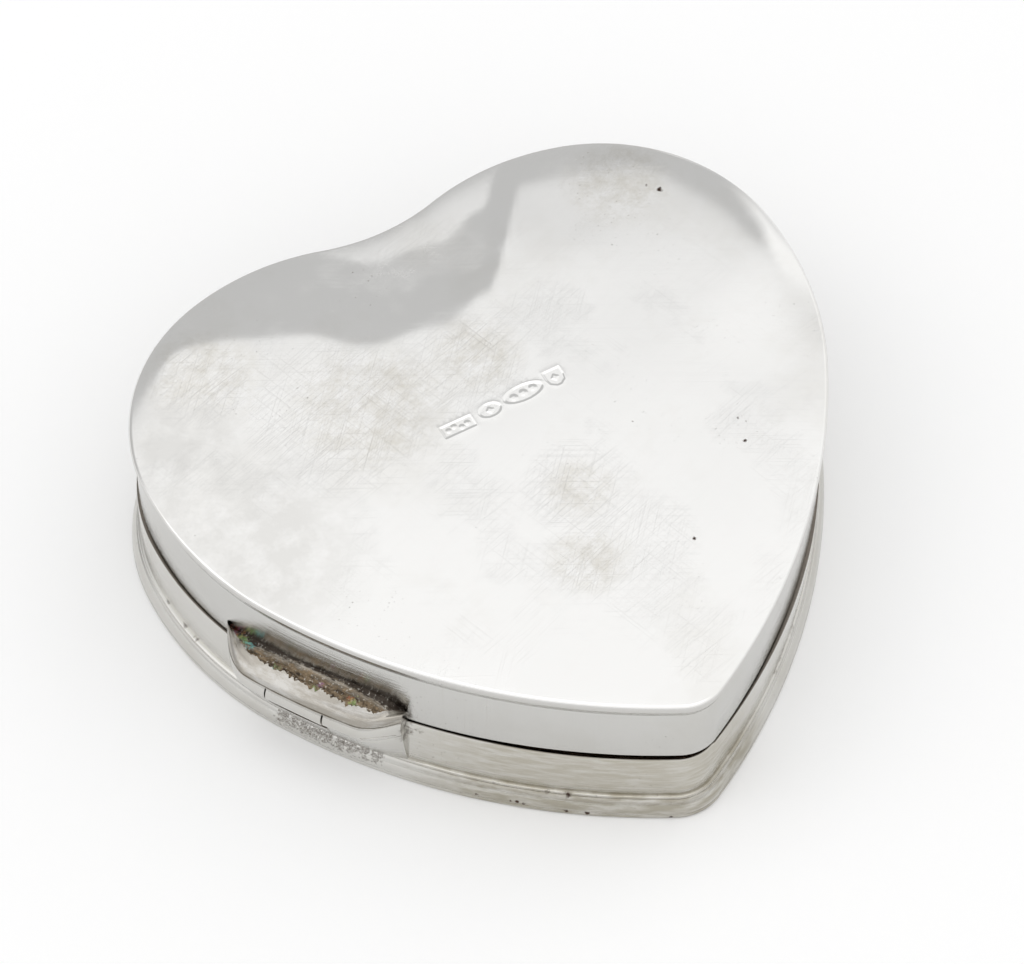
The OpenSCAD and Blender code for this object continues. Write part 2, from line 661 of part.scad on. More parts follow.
// The thread's gap faces the worm wheel at the height of the wheel's axis.
thread_phase = 90 - 360 * (second_z - worm_z[0]) / worm_pitch;
fan_z = [8.4, 11.0];
module fan() color("silver")
  from_base() translate(fan_at) difference() {
    union() {
      disc(0.8, fan_z[0], fan_z[1]);
      block(-0.15, 0.15, -3.6, 3.6, fan_z[0] + 0.2, fan_z[1] - 0.2);
    }
    disc(0.35, 0, box_h);
  }

// ---- Movement: stop slide ----
slide_at = fan_at + [3.7, 0];
module stop_slide() color("goldenrod")
  from_base(cover_z + cover_t) translate(slide_at) {
    block(-1.1, 1.3, -1.6, 1.6, 0.05, 0.6);
    disc(0.9, 0.6 - eps, 1.7);
    block(-0.4, 0.4, -0.6, 0.6, -cover_t - 0.05, 0.05 + eps);
  }
module stop_finger() color("gray")
  from_base() translate(slide_at) block(-0.9, 0.1, -0.5, 0.5, 9.2, cover_z - 0.05);

lid_wall();
lid_panel();
lid_moulding();
lid_lining();
lid_hinge_leaf();
hinge_pin();
base_hinge_leaf();
base_wall();
base_plate();
base_bezel();
bay_partition();
tray_lining();
tray_side_lining();
movement_cover();
cover_posts();
cover_screws();
bedplate();
bedplate_posts();
bedplate_screws();
barrel_drum();
barrel_cap();
mainspring();
winding_arbor();
ratchet_wheel();
key_boss();
key_pin();
folding_key();
barrel_bridge();
bridge_pillars();
bridge_screws();
click();
click_screw();
click_spring();
cylinder_sleeve();
cylinder_arbor();
cylinder_pinion();
cylinder_wheel();
bearing_left();
bearing_right();
bearing_screws();
comb();
comb_heel();
comb_screws();
second_arbor();
second_pinion();
worm_wheel();
governor_plate();
governor_cock();
worm_shaft();
worm_thread();
fan();
stop_slide();
stop_finger();
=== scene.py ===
import json
import math
import random

import bmesh
import bpy
from mathutils import Matrix, Vector, kdtree, noise
from mathutils.geometry import delaunay_2d_cdt


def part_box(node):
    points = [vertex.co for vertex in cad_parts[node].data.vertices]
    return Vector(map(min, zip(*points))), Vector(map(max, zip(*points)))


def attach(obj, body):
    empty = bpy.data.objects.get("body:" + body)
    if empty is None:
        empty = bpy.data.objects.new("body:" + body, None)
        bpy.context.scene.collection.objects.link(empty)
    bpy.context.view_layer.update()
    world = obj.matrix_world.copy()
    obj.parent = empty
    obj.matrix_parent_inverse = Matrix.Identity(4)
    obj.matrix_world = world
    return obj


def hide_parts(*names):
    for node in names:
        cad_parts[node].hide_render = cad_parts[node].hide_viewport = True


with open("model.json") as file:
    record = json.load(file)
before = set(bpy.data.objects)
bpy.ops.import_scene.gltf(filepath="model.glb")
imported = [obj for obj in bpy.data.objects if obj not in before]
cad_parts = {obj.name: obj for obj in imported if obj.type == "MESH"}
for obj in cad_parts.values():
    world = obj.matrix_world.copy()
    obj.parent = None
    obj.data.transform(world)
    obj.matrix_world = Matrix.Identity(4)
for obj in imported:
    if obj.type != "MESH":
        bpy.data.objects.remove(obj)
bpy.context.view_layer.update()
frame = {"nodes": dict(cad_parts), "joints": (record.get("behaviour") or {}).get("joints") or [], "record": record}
nodes = frame["nodes"]
joints = {j["name"]: j for j in frame["joints"]}
MM = 0.001

# The lid hinge's own frame, in millimetres
PIN = Vector(joints["lid_hinge"]["pos_m"]) / MM
ALONG = Vector(joints["lid_hinge"]["axis"])
OUTWARD = ALONG.cross(Vector((0, 0, 1)))

# Level directions straight ahead of the camera and to its right
AHEAD = Vector((0.48, 0.877))
BESIDE = Vector((0.877, -0.48))


def on_hinge(x, y, z):
    """A place given from the pin: outwards, along the pin towards the tip, and upwards."""
    return PIN + OUTWARD * x + ALONG * y + Vector((0, 0, z))


# ---------------------------------------------------------------- camera, floor and light

AZIMUTH = math.radians(-28.66)
ELEVATION = math.radians(54.94)
ROLL = math.radians(-0.57)
DISTANCE = 654.2 * MM
AIM_RIGHT = -2.69 * MM
AIM_UP = 10.11 * MM
LENS = 180.5


def add_object(name, data):
    obj = bpy.data.objects.new(name, data)
    bpy.context.scene.collection.objects.link(obj)
    return obj


def placed(right, up, back, place):
    """A transform whose columns are the given axes and place."""
    return Matrix([(right[i], up[i], back[i], place[i]) for i in range(3)] + [(0, 0, 0, 1)])


def make_camera():
    """A long lens that looks down on the bottom plate from the hinge side."""
    back = Vector((math.sin(AZIMUTH) * math.cos(ELEVATION),
                   -math.cos(AZIMUTH) * math.cos(ELEVATION), math.sin(ELEVATION)))
    flat = Vector((math.cos(AZIMUTH), math.sin(AZIMUTH), 0))
    tall = back.cross(flat)
    right = flat * math.cos(ROLL) + tall * math.sin(ROLL)
    up = tall * math.cos(ROLL) - flat * math.sin(ROLL)
    data = bpy.data.cameras.new("camera")
    data.lens = LENS
    data.clip_end = 10
    cam = add_object("camera", data)
    cam.matrix_world = placed(right, up, back, right * AIM_RIGHT + up * AIM_UP + back * DISTANCE)
    bpy.context.scene.camera = cam


def softbox(name, azimuth, elevation, distance, size, radiance):
    """A rectangular light that faces the object, placed by its direction in degrees from +Y towards +X."""
    data = bpy.data.lights.new(name, "AREA")
    data.shape = "RECTANGLE"
    data.size, data.size_y = size
    data.energy = radiance * math.pi * size[0] * size[1]
    a, e = math.radians(azimuth), math.radians(elevation)
    back = Vector((math.sin(a) * math.cos(e), math.cos(a) * math.cos(e), math.sin(e)))
    obj = add_object(name, data)
    turned = back.to_track_quat("Z", "Y").to_matrix().to_4x4()
    obj.matrix_world = Matrix.Translation(back * distance) @ turned


def make_studio():
    scene = bpy.context.scene
    scene.view_settings.view_transform = "Standard"
    scene.world = bright_room()
    softbox("key_softbox", -60, 52, 1.1, (0.7, 0.7), 0.4)
    mesh = bpy.data.meshes.new("floor")
    half = 4
    corners = [(-half, -half, 0), (half, -half, 0), (half, half, 0), (-half, half, 0)]
    mesh.from_pydata(corners, [], [(0, 1, 2, 3)])
    floor = add_object("floor", mesh)
    mesh.materials.append(plain_floor())


# ---------------------------------------------------------------- material tools


class Graph:
    """Short calls for building the node tree of one material or world."""

    def __init__(self, name, library=bpy.data.materials, shader="Principled BSDF"):
        self.owner = library.new(name)
        self.owner.use_nodes = True
        self.tree = self.owner.node_tree
        self.shader = self.tree.nodes[shader]

    def node(self, kind, values=None, **settings):
        made = self.tree.nodes.new(kind)
        for key, value in settings.items():
            setattr(made, key, value)
        for key, value in (values or {}).items():
            self.put(made.inputs[key], value)
        return made

    def put(self, socket, value):
        if isinstance(value, bpy.types.NodeSocket):
            self.tree.links.new(value, socket)
        else:
            socket.default_value = value

    def set(self, name, value):
        self.put(self.shader.inputs[name], value)

    def place(self, scale=(1, 1, 1), turn=(0, 0, 0), shift=(0, 0, 0)):
        """Object coordinates in millimetres, turned, stretched and shifted."""
        source = self.node("ShaderNodeTexCoord").outputs["Object"]
        turned = self.node("ShaderNodeMapping", {"Vector": source, "Rotation": turn}, vector_type="POINT")
        values = {"Vector": turned.outputs[0], "Location": shift, "Scale": [s / MM for s in scale]}
        return self.node("ShaderNodeMapping", values, vector_type="POINT").outputs[0]

    def noise(self, vector, scale, detail=3, rough=0.5, distortion=0):
        return self.node("ShaderNodeTexNoise", {"Vector": vector, "Scale": scale, "Detail": detail,
                                                "Roughness": rough, "Distortion": distortion}).outputs[0]

    def ramp(self, value, low, high, out_low=0, out_high=1):
        made = self.node("ShaderNodeMapRange", {"Value": value, "From Min": low, "From Max": high,
                                                "To Min": out_low, "To Max": out_high}, clamp=True)
        return made.outputs[0]

    def math(self, operation, a, b=0.0):
        return self.node("ShaderNodeMath", {0: a, 1: b}, operation=operation).outputs[0]

    def vector(self, operation, a, b=(0, 0, 0), output=0):
        return self.node("ShaderNodeVectorMath", {0: a, 1: b}, operation=operation).outputs[output]

    def mix(self, factor, a, b):
        made = self.node("ShaderNodeMix", data_type="RGBA")
        self.put(made.inputs[0], factor)
        self.put(made.inputs[6], a)
        self.put(made.inputs[7], b)
        return made.outputs[2]

    def bump(self, height, distance, strength=1.0, below=None):
        values = {"Height": height, "Distance": distance * MM, "Strength": strength}
        made = self.node("ShaderNodeBump", values)
        if below is not None:
            self.put(made.inputs["Normal"], below)
        return made.outputs[0]

    def seam(self, middle, half, reach):
        """1 close to a line that runs along the hinge through a place, for half its length each way."""
        away = self.vector("SUBTRACT", self.place(), tuple(middle))
        run = self.vector("DOT_PRODUCT", away, tuple(ALONG), "Value")
        side = self.vector("LENGTH", self.vector("CROSS_PRODUCT", away, tuple(ALONG)), output="Value")
        run = self.ramp(self.math("ABSOLUTE", run), half, half + 0.12, 1, 0)
        return self.math("MULTIPLY", run, self.ramp(side, reach * 0.75, reach, 1, 0))

    def spots(self, places, ragged=0.0):
        """The union of several spots (x, y, z, reach), with borders roughened by a share of their reach."""
        whole = None
        rough = self.ramp(self.noise(self.place(), 2.4, 3, 0.6), 0.3, 0.7, -1, 1) if ragged else None
        for x, y, z, reach in places:
            away = self.vector("DISTANCE", self.place(), (x, y, z), "Value")
            if ragged:
                away = self.math("ADD", away, self.math("MULTIPLY", rough, reach * ragged))
            one = self.ramp(away, reach * 0.5, reach, 1, 0)
            whole = one if whole is None else self.math("MAXIMUM", whole, one)
        return whole


def rgb(r, g, b):
    return (r, g, b, 1)


def bright_room():
    """A white room with a bright ceiling, whose far wall is grey on the left up to 50 degrees."""
    g = Graph("studio", bpy.data.worlds, "Background")
    away = g.node("ShaderNodeTexCoord").outputs["Generated"]
    height = g.node("ShaderNodeSeparateXYZ", {0: away}).outputs[2]
    facing = g.vector("DOT_PRODUCT", away, (*AHEAD, 0), "Value")
    leftward = g.vector("DOT_PRODUCT", away, (-0.5, 0.87, 0), "Value")
    near = g.ramp(height, 0.1, 0.6, 0.75, 1.0)
    far = g.math("ADD", g.ramp(height, 0.765, 0.79, 0.55, 0.9), g.ramp(height, 0.79, 0.83, 0, 0.1))
    wall = g.math("MULTIPLY", g.ramp(facing, 0.1, 0.35), g.ramp(leftward, 0.1, 0.22))
    level = g.math("ADD", near, g.math("MULTIPLY", wall, g.math("SUBTRACT", far, near)))
    level = g.math("ADD", level, g.ramp(height, 0.92, 0.98, 0, 0.6))
    g.set("Color", g.node("ShaderNodeCombineXYZ", {0: level, 1: level, 2: level}).outputs[0])
    return g.owner


def plain_floor():
    g = Graph("floor")
    g.set("Base Color", rgb(0.965, 0.965, 0.965))
    g.set("Roughness", 0.7)
    g.set("Specular IOR Level", 0.1)
    g.set("Emission Color", rgb(1, 1, 1))
    g.set("Emission Strength", 0.045)
    return g.owner


def scratches(g, turn, seed, length=0.07, across=17.0, cut=0.66):
    """Fine straight strokes at one angle: 1 on a stroke and 0 off it."""
    flat = g.place((length, across, 0.05), (0, 0, turn), (seed, seed * 1.7, 0))
    return g.ramp(g.noise(flat, 1, 1, 0.4, 0.1), cut, cut + 0.05)


# Marks that old handling has left: x, y, z and reach in millimetres
TINTS = ((-30.4, 29.3, 24.6, 9), (-14.7, 15.1, 24.6, 12), (0.8, 16.2, 24.6, 7), (30, 31, 24.6, 8),
         (-2, -17.5, 24.6, 6), (2.2, -8, 24.6, 5))
SCRATCHED = ((-31.3, 28.9, 24.6, 7), (-18.6, 15.6, 24.6, 13), (-1.6, 15.7, 24.6, 9), (2.1, -8.2, 24.6, 8),
             (-2, -17.8, 24.6, 7), (4.8, -18.2, 24.6, 8), (2.7, -36.3, 24.6, 5))
SPECKLED = ((-6.9, 32.2, 24.5, 8), (-22, 35, 24.5, 7), (29, 33, 24.5, 8), (26, 26, 24.6, 6),
            (24, -9, 24.6, 5))
FACE_PITS = ((34.1, 27.6, 24.5, 0.45), (33, 29, 24.5, 0.3), (23.6, -11.6, 24.6, 0.3),
             (24.6, -8.2, 24.6, 0.22), (10.7, -21.2, 24.6, 0.3), (-26.8, -21.4, 24.5, 0.4))
RIM_PITS = ((-23.4, -27.5, 1.3, 0.36), (-20.2, -30.4, 1.3, 0.25), (-19.6, -30.9, 1.4, 0.36),
            (-18.9, -31.5, 1.2, 0.3), (-14.8, -34.7, 0.8, 0.45), (-12.7, -36.2, 0.8, 0.45),
            (-3.9, -41.7, 0.4, 0.36), (1.3, -42.1, 4.4, 0.25), (-16.4, -32.9, 3.5, 0.5),
            (-14.4, -34.4, 3.4, 0.55), (-11.6, -36.4, 3.5, 0.3), (-21.6, -28.5, 3.6, 0.4),
            (-44.4, 14.9, 3.9, 0.4), (-44.2, 10.7, 3.9, 0.45), (-43.8, 8.1, 3.8, 0.35),
            (-43.2, 25.4, 2.6, 0.3))
WALL_BLOTCHES = ((25.2, -24.0, 6.3, 1.1), (22.4, -26.8, 6.0, 1.5), (22.0, -27.4, 4.8, 1.5),
                 (18.8, -30.0, 5.1, 1.6), (17.3, -31.2, 4.8, 1.4))


def silver(name, tone, wear=1.0, tarnish=0.25, haze=(0.10, 0.2), streaks=False, face=False, pits=(), dirt=(),
           specks=(), dull=(), shade_lines=(), film=(0.74, 0.71, 0.64), rim=None, lip=False):
    """Old polished silver: hazy patches, fine scratches, pits and warm tarnish.

    Pits, dirt, specks, lines of painted shade and duller, darker areas lie at given places. A face has the
    handling marks as well. The side is darker below the height rim, and a lip's upward faces, in the gap between
    the
    halves, are dark brown: partly tarnish, partly painted shade.
    """
    g = Graph(name)
    patches = g.ramp(g.noise(g.place(), 0.07, 4, 0.6), 0.5, 0.72)
    strokes = None
    for turn, seed in ((0.5, 3.1), (1.25, 11.7), (-0.35, 23.9), (2.3, 41.3), (2.9, 57.1)):
        one = scratches(g, turn, seed)
        strokes = one if strokes is None else g.math("MAXIMUM", strokes, one)
    worn = g.math("MAXIMUM", patches, g.spots(SCRATCHED)) if face else patches
    strokes = g.math("MULTIPLY", strokes, g.ramp(worn, 0, 1, 0.1 * wear, wear))
    holes = g.ramp(g.noise(g.place(), 2.6, 2, 0.5), 0.70, 0.75)
    where = g.ramp(g.noise(g.place(shift=(9, 4, 2)), 0.09, 2), 0.55, 0.7)
    holes = g.math("MULTIPLY", holes, g.math("MAXIMUM", where, g.spots(SPECKLED)) if face else where)
    stain = g.ramp(g.noise(g.place(shift=(31, 17, 5)), 0.05, 5, 0.65), 0.48, 0.75)
    stain = g.math("MULTIPLY", stain, tarnish)
    if face:
        ragged = g.ramp(g.noise(g.place(), 0.3, 7, 0.78), 0.36, 0.68)
        stain = g.math("MAXIMUM", stain, g.math("MULTIPLY", g.math("MULTIPLY", g.spots(TINTS), ragged), 0.7))
    colour = g.mix(stain, rgb(*tone), rgb(0.72 * tone[0], 0.69 * tone[1], 0.62 * tone[2]))
    colour = g.mix(g.math("MULTIPLY", strokes, 0.2), colour, rgb(0.36, 0.33, 0.29))
    colour = g.mix(g.math("MULTIPLY", holes, 0.65), colour, rgb(0.2, 0.16, 0.12))
    if dirt:
        grain = g.ramp(g.noise(g.place(), 1.1, 5, 0.75), 0.36, 0.6)
        colour = g.mix(g.math("MULTIPLY", g.spots(dirt, 0.4), grain), colour, rgb(0.13, 0.11, 0.09))
    if specks:
        grain = g.ramp(g.noise(g.place(), 6.5, 3, 0.7), 0.46, 0.54, 0.3, 0.85)
        colour = g.mix(g.math("MULTIPLY", g.spots(specks, 0.9), grain), colour, rgb(0.12, 0.1, 0.08))
    if dull:
        grain = g.ramp(g.noise(g.place((0.25, 0.25, 1.6)), 1, 5, 0.65), 0.36, 0.58, 0.25, 1)
        dulled = g.math("MULTIPLY", g.spots(dull), grain)
        colour = g.mix(dulled, colour, rgb(*[share * level for share, level in zip(film, tone)]))
    if rim:
        height = g.node("ShaderNodeSeparateXYZ", {0: g.place()}).outputs[2]
        colour = g.mix(g.ramp(height, rim, rim + 0.15, 1, 0), colour, rgb(0.6, 0.59, 0.57))
    if lip:
        # A lip's upward faces sit in the gap between the halves and are painted dark brown: partly tarnish, partly
        # painted shade
        normal = g.node("ShaderNodeNewGeometry").outputs["True Normal"]
        up = g.ramp(g.node("ShaderNodeSeparateXYZ", {0: normal}).outputs[2], 0.7, 0.9, 0, 0.92)
        brown = g.mix(g.noise(g.place(), 2.2, 5, 0.75), rgb(0.05, 0.04, 0.03), rgb(0.2, 0.17, 0.14))
        colour = g.mix(up, colour, brown)
    # Lines of painted shade, such as the gap under the middle knuckle, are painted near black
    for start, half, reach in shade_lines:
        colour = g.mix(g.seam(start, half, reach), colour, rgb(0.045, 0.028, 0.018))
    if pits:
        colour = g.mix(g.spots(pits, 0.35), colour, rgb(0.055, 0.03, 0.02))
    g.set("Base Color", colour)
    g.set("Metallic", 1.0)
    g.set("Roughness", g.math("ADD", g.ramp(patches, 0, 1, *haze), g.math("MULTIPLY", strokes, 0.15)))
    normal = g.bump(g.noise(g.place(), 0.05, 1), 0.1)
    if streaks:
        lines = g.noise(g.place((0.03, 0.03, 4.0)), 1, 4, 0.65)
        normal = g.bump(lines, 0.035, 0.8, normal)
    normal = g.bump(strokes, 0.005, 0.6, normal)
    g.set("Normal", g.bump(holes, -0.03, 0.8, normal))
    return g.owner


def rim_tarnish_and_shade(name):
    """Silver whose exposed rim is dark brown: partly tarnish, partly painted shade in the gap between the halves.
    """
    g = Graph(name)
    height = g.node("ShaderNodeSeparateXYZ", {0: g.place()}).outputs[2]
    ragged = g.math("ADD", height, g.ramp(g.noise(g.place(), 0.9, 4, 0.6), 0, 1, -0.7, 0.7))
    # Below a ragged height near 13 mm the rim is painted dark brown: tarnish, and painted shade where it sits in
    # the gap between the halves
    dark = g.ramp(ragged, 12.9, 13.5, 1, 0)
    brown = g.mix(g.noise(g.place(), 1.5, 5, 0.7), rgb(0.09, 0.055, 0.04), rgb(0.3, 0.2, 0.145))
    g.set("Base Color", g.mix(dark, rgb(0.74, 0.72, 0.68), brown))
    g.set("Metallic", 1.0)
    g.set("Roughness", g.ramp(dark, 0, 1, 0.2, 0.5))
    g.set("Normal", g.bump(g.noise(g.place(), 3, 4, 0.7), 0.05, 0.5))
    return g.owner


def crust(name, start, films, glints):
    """Brown corrosion, paler towards the wall, with small spots of red, green and blue film."""
    g = Graph(name)
    turn = -math.atan2(ALONG.y, ALONG.x)
    grain = g.noise(g.place((0.8, 1.9, 1.9), (0, 0, turn)), 1, 7, 0.75)
    streak = g.noise(g.place((0.12, 3.0, 3.0), (0, 0, turn)), 1, 4, 0.65)
    colour = g.mix(g.ramp(grain, 0.4, 0.62), rgb(0.03, 0.02, 0.012), rgb(0.27, 0.2, 0.125))
    across = g.node("ShaderNodeVectorMath", {0: g.place(), 1: tuple(OUTWARD)}, operation="DOT_PRODUCT")
    across = g.math("ADD", across.outputs["Value"], g.ramp(grain, 0.3, 0.7, -0.5, 0.5))
    pale = g.mix(g.ramp(streak, 0.4, 0.6), rgb(0.16, 0.135, 0.1), rgb(0.5, 0.46, 0.4))
    colour = g.mix(g.ramp(across, start + 0.55, start + 1.1, 0.85, 0), colour, pale)
    colour = g.mix(g.ramp(across, start + 0.25, start + 0.5, 0.9, 0), colour, rgb(0.03, 0.02, 0.014))
    for film, places in films:
        stain = g.math("MULTIPLY", g.spots(places, 1.4), g.ramp(grain, 0.38, 0.6, 0.1, 0.7))
        colour = g.mix(stain, colour, film)
    shine = g.ramp(g.noise(g.place(shift=(14, 3, 6)), 3.0, 4, 0.7), 0.58, 0.68, 0, 0.6)
    shine = g.math("MAXIMUM", shine, g.spots(glints, 0.4))
    g.set("Base Color", g.mix(shine, colour, rgb(0.8, 0.77, 0.7)))
    g.set("Metallic", 0.7)
    g.set("Roughness", g.ramp(shine, 0, 1, 0.45, 0.18))
    g.set("Normal", g.bump(streak, 0.05, 0.6, g.bump(grain, 0.1, 0.9)))
    return g.owner


def brushed(name, light, dark, stretch=(0.08, 4.0, 4.0), roughness=(0.22, 0.36), spots=0.3):
    """Machined metal with fine lines along one axis, faint staining and small marks."""
    g = Graph(name)
    lines = g.noise(g.place(stretch), 1, 4, 0.65)
    cloud = g.ramp(g.noise(g.place(), 0.16, 4, 0.6), 0.42, 0.72)
    marks = g.ramp(g.noise(g.place(shift=(7, 7, 7)), 1.9, 3, 0.6), 0.68, 0.75)
    colour = g.mix(g.math("MULTIPLY", cloud, 0.6), rgb(*light), rgb(*dark))
    g.set("Base Color", g.mix(g.math("MULTIPLY", marks, spots), colour, rgb(*[c * 0.35 for c in dark])))
    g.set("Metallic", 1.0)
    g.set("Roughness", g.ramp(lines, 0.3, 0.7, *roughness))
    g.set("Normal", g.bump(lines, 0.012, 0.5))
    return g.owner


def velvet(name):
    """Deep red cotton velvet with crushed patches and a pale sheen."""
    g = Graph(name)
    pile = g.noise(g.place(), 5.5, 4, 0.7)
    crushed = g.ramp(g.noise(g.place(), 0.13, 4, 0.55, 0.8), 0.4, 0.66)
    colour = g.mix(crushed, rgb(0.13, 0.008, 0.02), rgb(0.26, 0.02, 0.042))
    g.set("Base Color", g.mix(g.ramp(pile, 0.3, 0.75, 0, 0.5), colour, rgb(0.05, 0.002, 0.008)))
    g.set("Roughness", 0.95)
    g.set("Sheen Weight", 0.8)
    g.set("Sheen Roughness", 0.35)
    g.set("Sheen Tint", rgb(0.95, 0.45, 0.5))
    g.set("Specular IOR Level", 0.15)
    fibres = g.bump(pile, 0.1, 0.7)
    g.set("Normal", g.bump(crushed, 0.15, 0.5, fibres))
    return g.owner


def clear_plastic(name):
    """Clear acrylic sheet with faint hazing and hairline marks."""
    g = Graph(name)
    haze = g.ramp(g.noise(g.place(), 0.09, 4, 0.6), 0.5, 0.75)
    marks = g.math("MAXIMUM", scratches(g, 0.9, 5.5, cut=0.7), scratches(g, -0.6, 17.5, cut=0.7))
    g.set("Base Color", g.mix(g.math("MULTIPLY", marks, 0.3), rgb(0.97, 0.985, 0.98), rgb(0.85, 0.88, 0.87)))
    g.set("Transmission Weight", 1.0)
    g.set("IOR", 1.49)
    g.set("Roughness", g.math("ADD", g.ramp(haze, 0, 1, 0.02, 0.07), g.math("MULTIPLY", marks, 0.15)))
    g.set("Normal", g.bump(marks, -0.004, 0.5))
    return g.owner


# ---------------------------------------------------------------- heart outline, in millimetres

# Tangent arcs from the cleft to the tip: radius, turn in degrees, side of the turn
ARCS = ((28.3, 16.5, 1), (32.3, 33.6, -1), (24.4, 68.7, -1), (43.9, 32.9, -1), (87.1, 33.7, -1))
STEP = 0.9


def half_outline():
    """Points and outward normals from the cleft to the tip, before scaling to the part."""
    point, heading = Vector((0, 0)), 0.0
    found = [(point, Vector((0, 1)))]

    def follow(radius, turn, side):
        nonlocal point, heading
        centre = point + Vector((-math.sin(heading), math.cos(heading))) * radius * side
        count = math.ceil(turn / STEP)
        start = heading
        for i in range(1, count + 1):
            heading = start + side * math.radians(turn) * i / count
            out = Vector((-math.sin(heading), math.cos(heading)))
            point = centre - out * radius * side
            found.append((point, out))

    for arc in ARCS:
        follow(*arc)
    follow(-point.x / math.sin(heading), 180 + math.degrees(heading), -1)
    return found


def full_outline():
    """The whole outline, scaled and shifted to the base wall's box."""
    low, high = (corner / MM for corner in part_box("base_wall"))
    half = half_outline()
    scale = (high.x - low.x) / 2 / max(p.x for p, n in half)
    top = max(p.y for p, n in half)
    right = [(Vector((p.x * scale, (p.y - top) * scale + high.y)), n) for p, n in half]
    left = [(Vector((-p.x, p.y)), Vector((-n.x, n.y))) for p, n in reversed(right[1:-1])]
    return right + left


OUTLINE = full_outline()


def ring(offset):
    """The heart outline moved outwards by offset millimetres."""
    return [p + n * offset for p, n in OUTLINE]


def edge_distance(loop):
    """A function that gives a point's distance to a closed loop of closely spaced points."""
    tree = kdtree.KDTree(len(loop))
    for i, p in enumerate(loop):
        tree.insert((p[0], p[1], 0), i)
    tree.balance()

    def away(p):
        place = Vector((p[0], p[1]))
        near = tree.find((p[0], p[1], 0))[1]
        best = 1e9
        for k in (near - 1, near):
            a, b = loop[k], loop[(k + 1) % len(loop)]
            along = b - a
            share = min(1, max(0, (place - a).dot(along) / max(along.dot(along), 1e-12)))
            best = min(best, (place - a - along * share).length)
        return best

    return away


def inside(loop, p):
    """Whether a point is within a closed loop."""
    found = False
    for i, b in enumerate(loop):
        a = loop[i - 1]
        if (a.y > p.y) != (b.y > p.y) and p.x < (b.x - a.x) * (p.y - a.y) / (b.y - a.y) + a.x:
            found = not found
    return found


# ---------------------------------------------------------------- mesh tools


def build(name, verts, faces, material, body, replaced=(), smooth=40):
    """A mesh from points in millimetres, riding on a body and standing for CAD nodes."""
    mesh = bpy.data.meshes.new(name)
    mesh.from_pydata([[c * MM for c in v] for v in verts], [], faces)
    mesh.materials.append(material)
    obj = add_object(name, mesh)
    bm = bmesh.new()
    bm.from_mesh(mesh)
    bmesh.ops.remove_doubles(bm, verts=bm.verts, dist=1e-7)
    bmesh.ops.dissolve_degenerate(bm, edges=bm.edges, dist=1e-8)
    bmesh.ops.recalc_face_normals(bm, faces=bm.faces)
    for face in bm.faces:
        face.smooth = True
    for e in bm.edges:
        if len(e.link_faces) == 2 and e.calc_face_angle() > math.radians(smooth):
            e.smooth = False
    bm.to_mesh(mesh)
    bm.free()
    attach(obj, body)
    if replaced:
        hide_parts(*replaced)
    return obj


def loft(rings, closed_ends=False):
    """Points and faces of a skin through rings that have the same number of points."""
    count = len(rings[0])
    verts = [v for one in rings for v in one]
    spans = len(rings) - 1 if closed_ends else len(rings)
    faces = []
    for j in range(spans):
        k = (j + 1) % len(rings)
        for i in range(count):
            n = (i + 1) % count
            faces.append((j * count + i, j * count + n, k * count + n, k * count + i))
    if closed_ends:
        faces.append(tuple(range(count)))
        faces.append(tuple(range((len(rings) - 1) * count, len(rings) * count)))
    return verts, faces


def sweep(name, profile, material, body, replaced=(), height=None, reach=None, smooth=40):
    """Carries a closed profile of (offset, z) points round the heart, altered by height and reach."""
    rings = []
    for offset, z in profile:
        whole = []
        for p, n in OUTLINE:
            q = p + n * (reach(n, offset, z) if reach else offset)
            whole.append((q.x, q.y, z + (height(p, z) if height else 0)))
        rings.append(whole)
    verts, faces = loft(rings)
    return build(name, verts, faces, material, body, replaced, smooth)


def slab(name, loop, extra, top, low, material, body, replaced=(), smooth=40):
    """A closed sheet: a triangulated top whose height is top(p), a side and a flat underside at low."""
    count = len(loop)
    flat, _, tops, origins, _, _ = delaunay_2d_cdt(loop + extra, [], [list(range(count))], 1, 1e-4)
    place = {o: i for i, group in enumerate(origins) for o in group}
    under, _, lows, low_origins, _, _ = delaunay_2d_cdt(loop, [], [list(range(count))], 1, 1e-4)
    low_place = {o: i + len(flat) for i, group in enumerate(low_origins) for o in group}
    verts = [(p.x, p.y, top(p)) for p in flat] + [(p.x, p.y, low) for p in under]
    faces = [tuple(f) for f in tops] + [tuple(i + len(flat) for i in f) for f in lows]
    for i in range(count):
        n = (i + 1) % count
        faces.append((place[i], place[n], low_place[n], low_place[i]))
    return build(name, verts, faces, material, body, replaced, smooth)


def grid_points(loop, spacing, keep):
    """Points of a staggered grid for which keep(p) is true."""
    xs = [p.x for p in loop]
    ys = [p.y for p in loop]
    found = []
    row = 0
    y = min(ys)
    while y < max(ys):
        x = min(xs) + (spacing / 2 if row % 2 else 0)
        while x < max(xs):
            p = Vector((x, y))
            if keep(p):
                found.append(p)
            x += spacing
        y += spacing * 0.87
        row += 1
    return found


def smoothstep(t):
    t = min(1, max(0, t))
    return t * t * (3 - 2 * t)


def along_values(places, y):
    """Reads a value from (place, value) pairs, with smooth steps between them."""
    for (a, va), (b, vb) in zip(places, places[1:]):
        if y <= b:
            return va + (vb - va) * smoothstep((y - a) / (b - a))
    return places[-1][1]


def edge_round(a, b, z0, z1, r, count=4):
    """Closed profile of an upright strip from offset a (outside) to b, with both outside edges rounded."""
    points = [(b, z0), (b, z1)]
    for i in range(count + 1):
        t = math.pi / 2 * i / count
        points.append((a - r + r * math.sin(t), z1 - r + r * math.cos(t)))
    for i in range(count + 1):
        t = math.pi / 2 * i / count
        points.append((a - r + r * math.cos(t), z0 + r - r * math.sin(t)))
    return points


# ---------------------------------------------------------------- materials in use

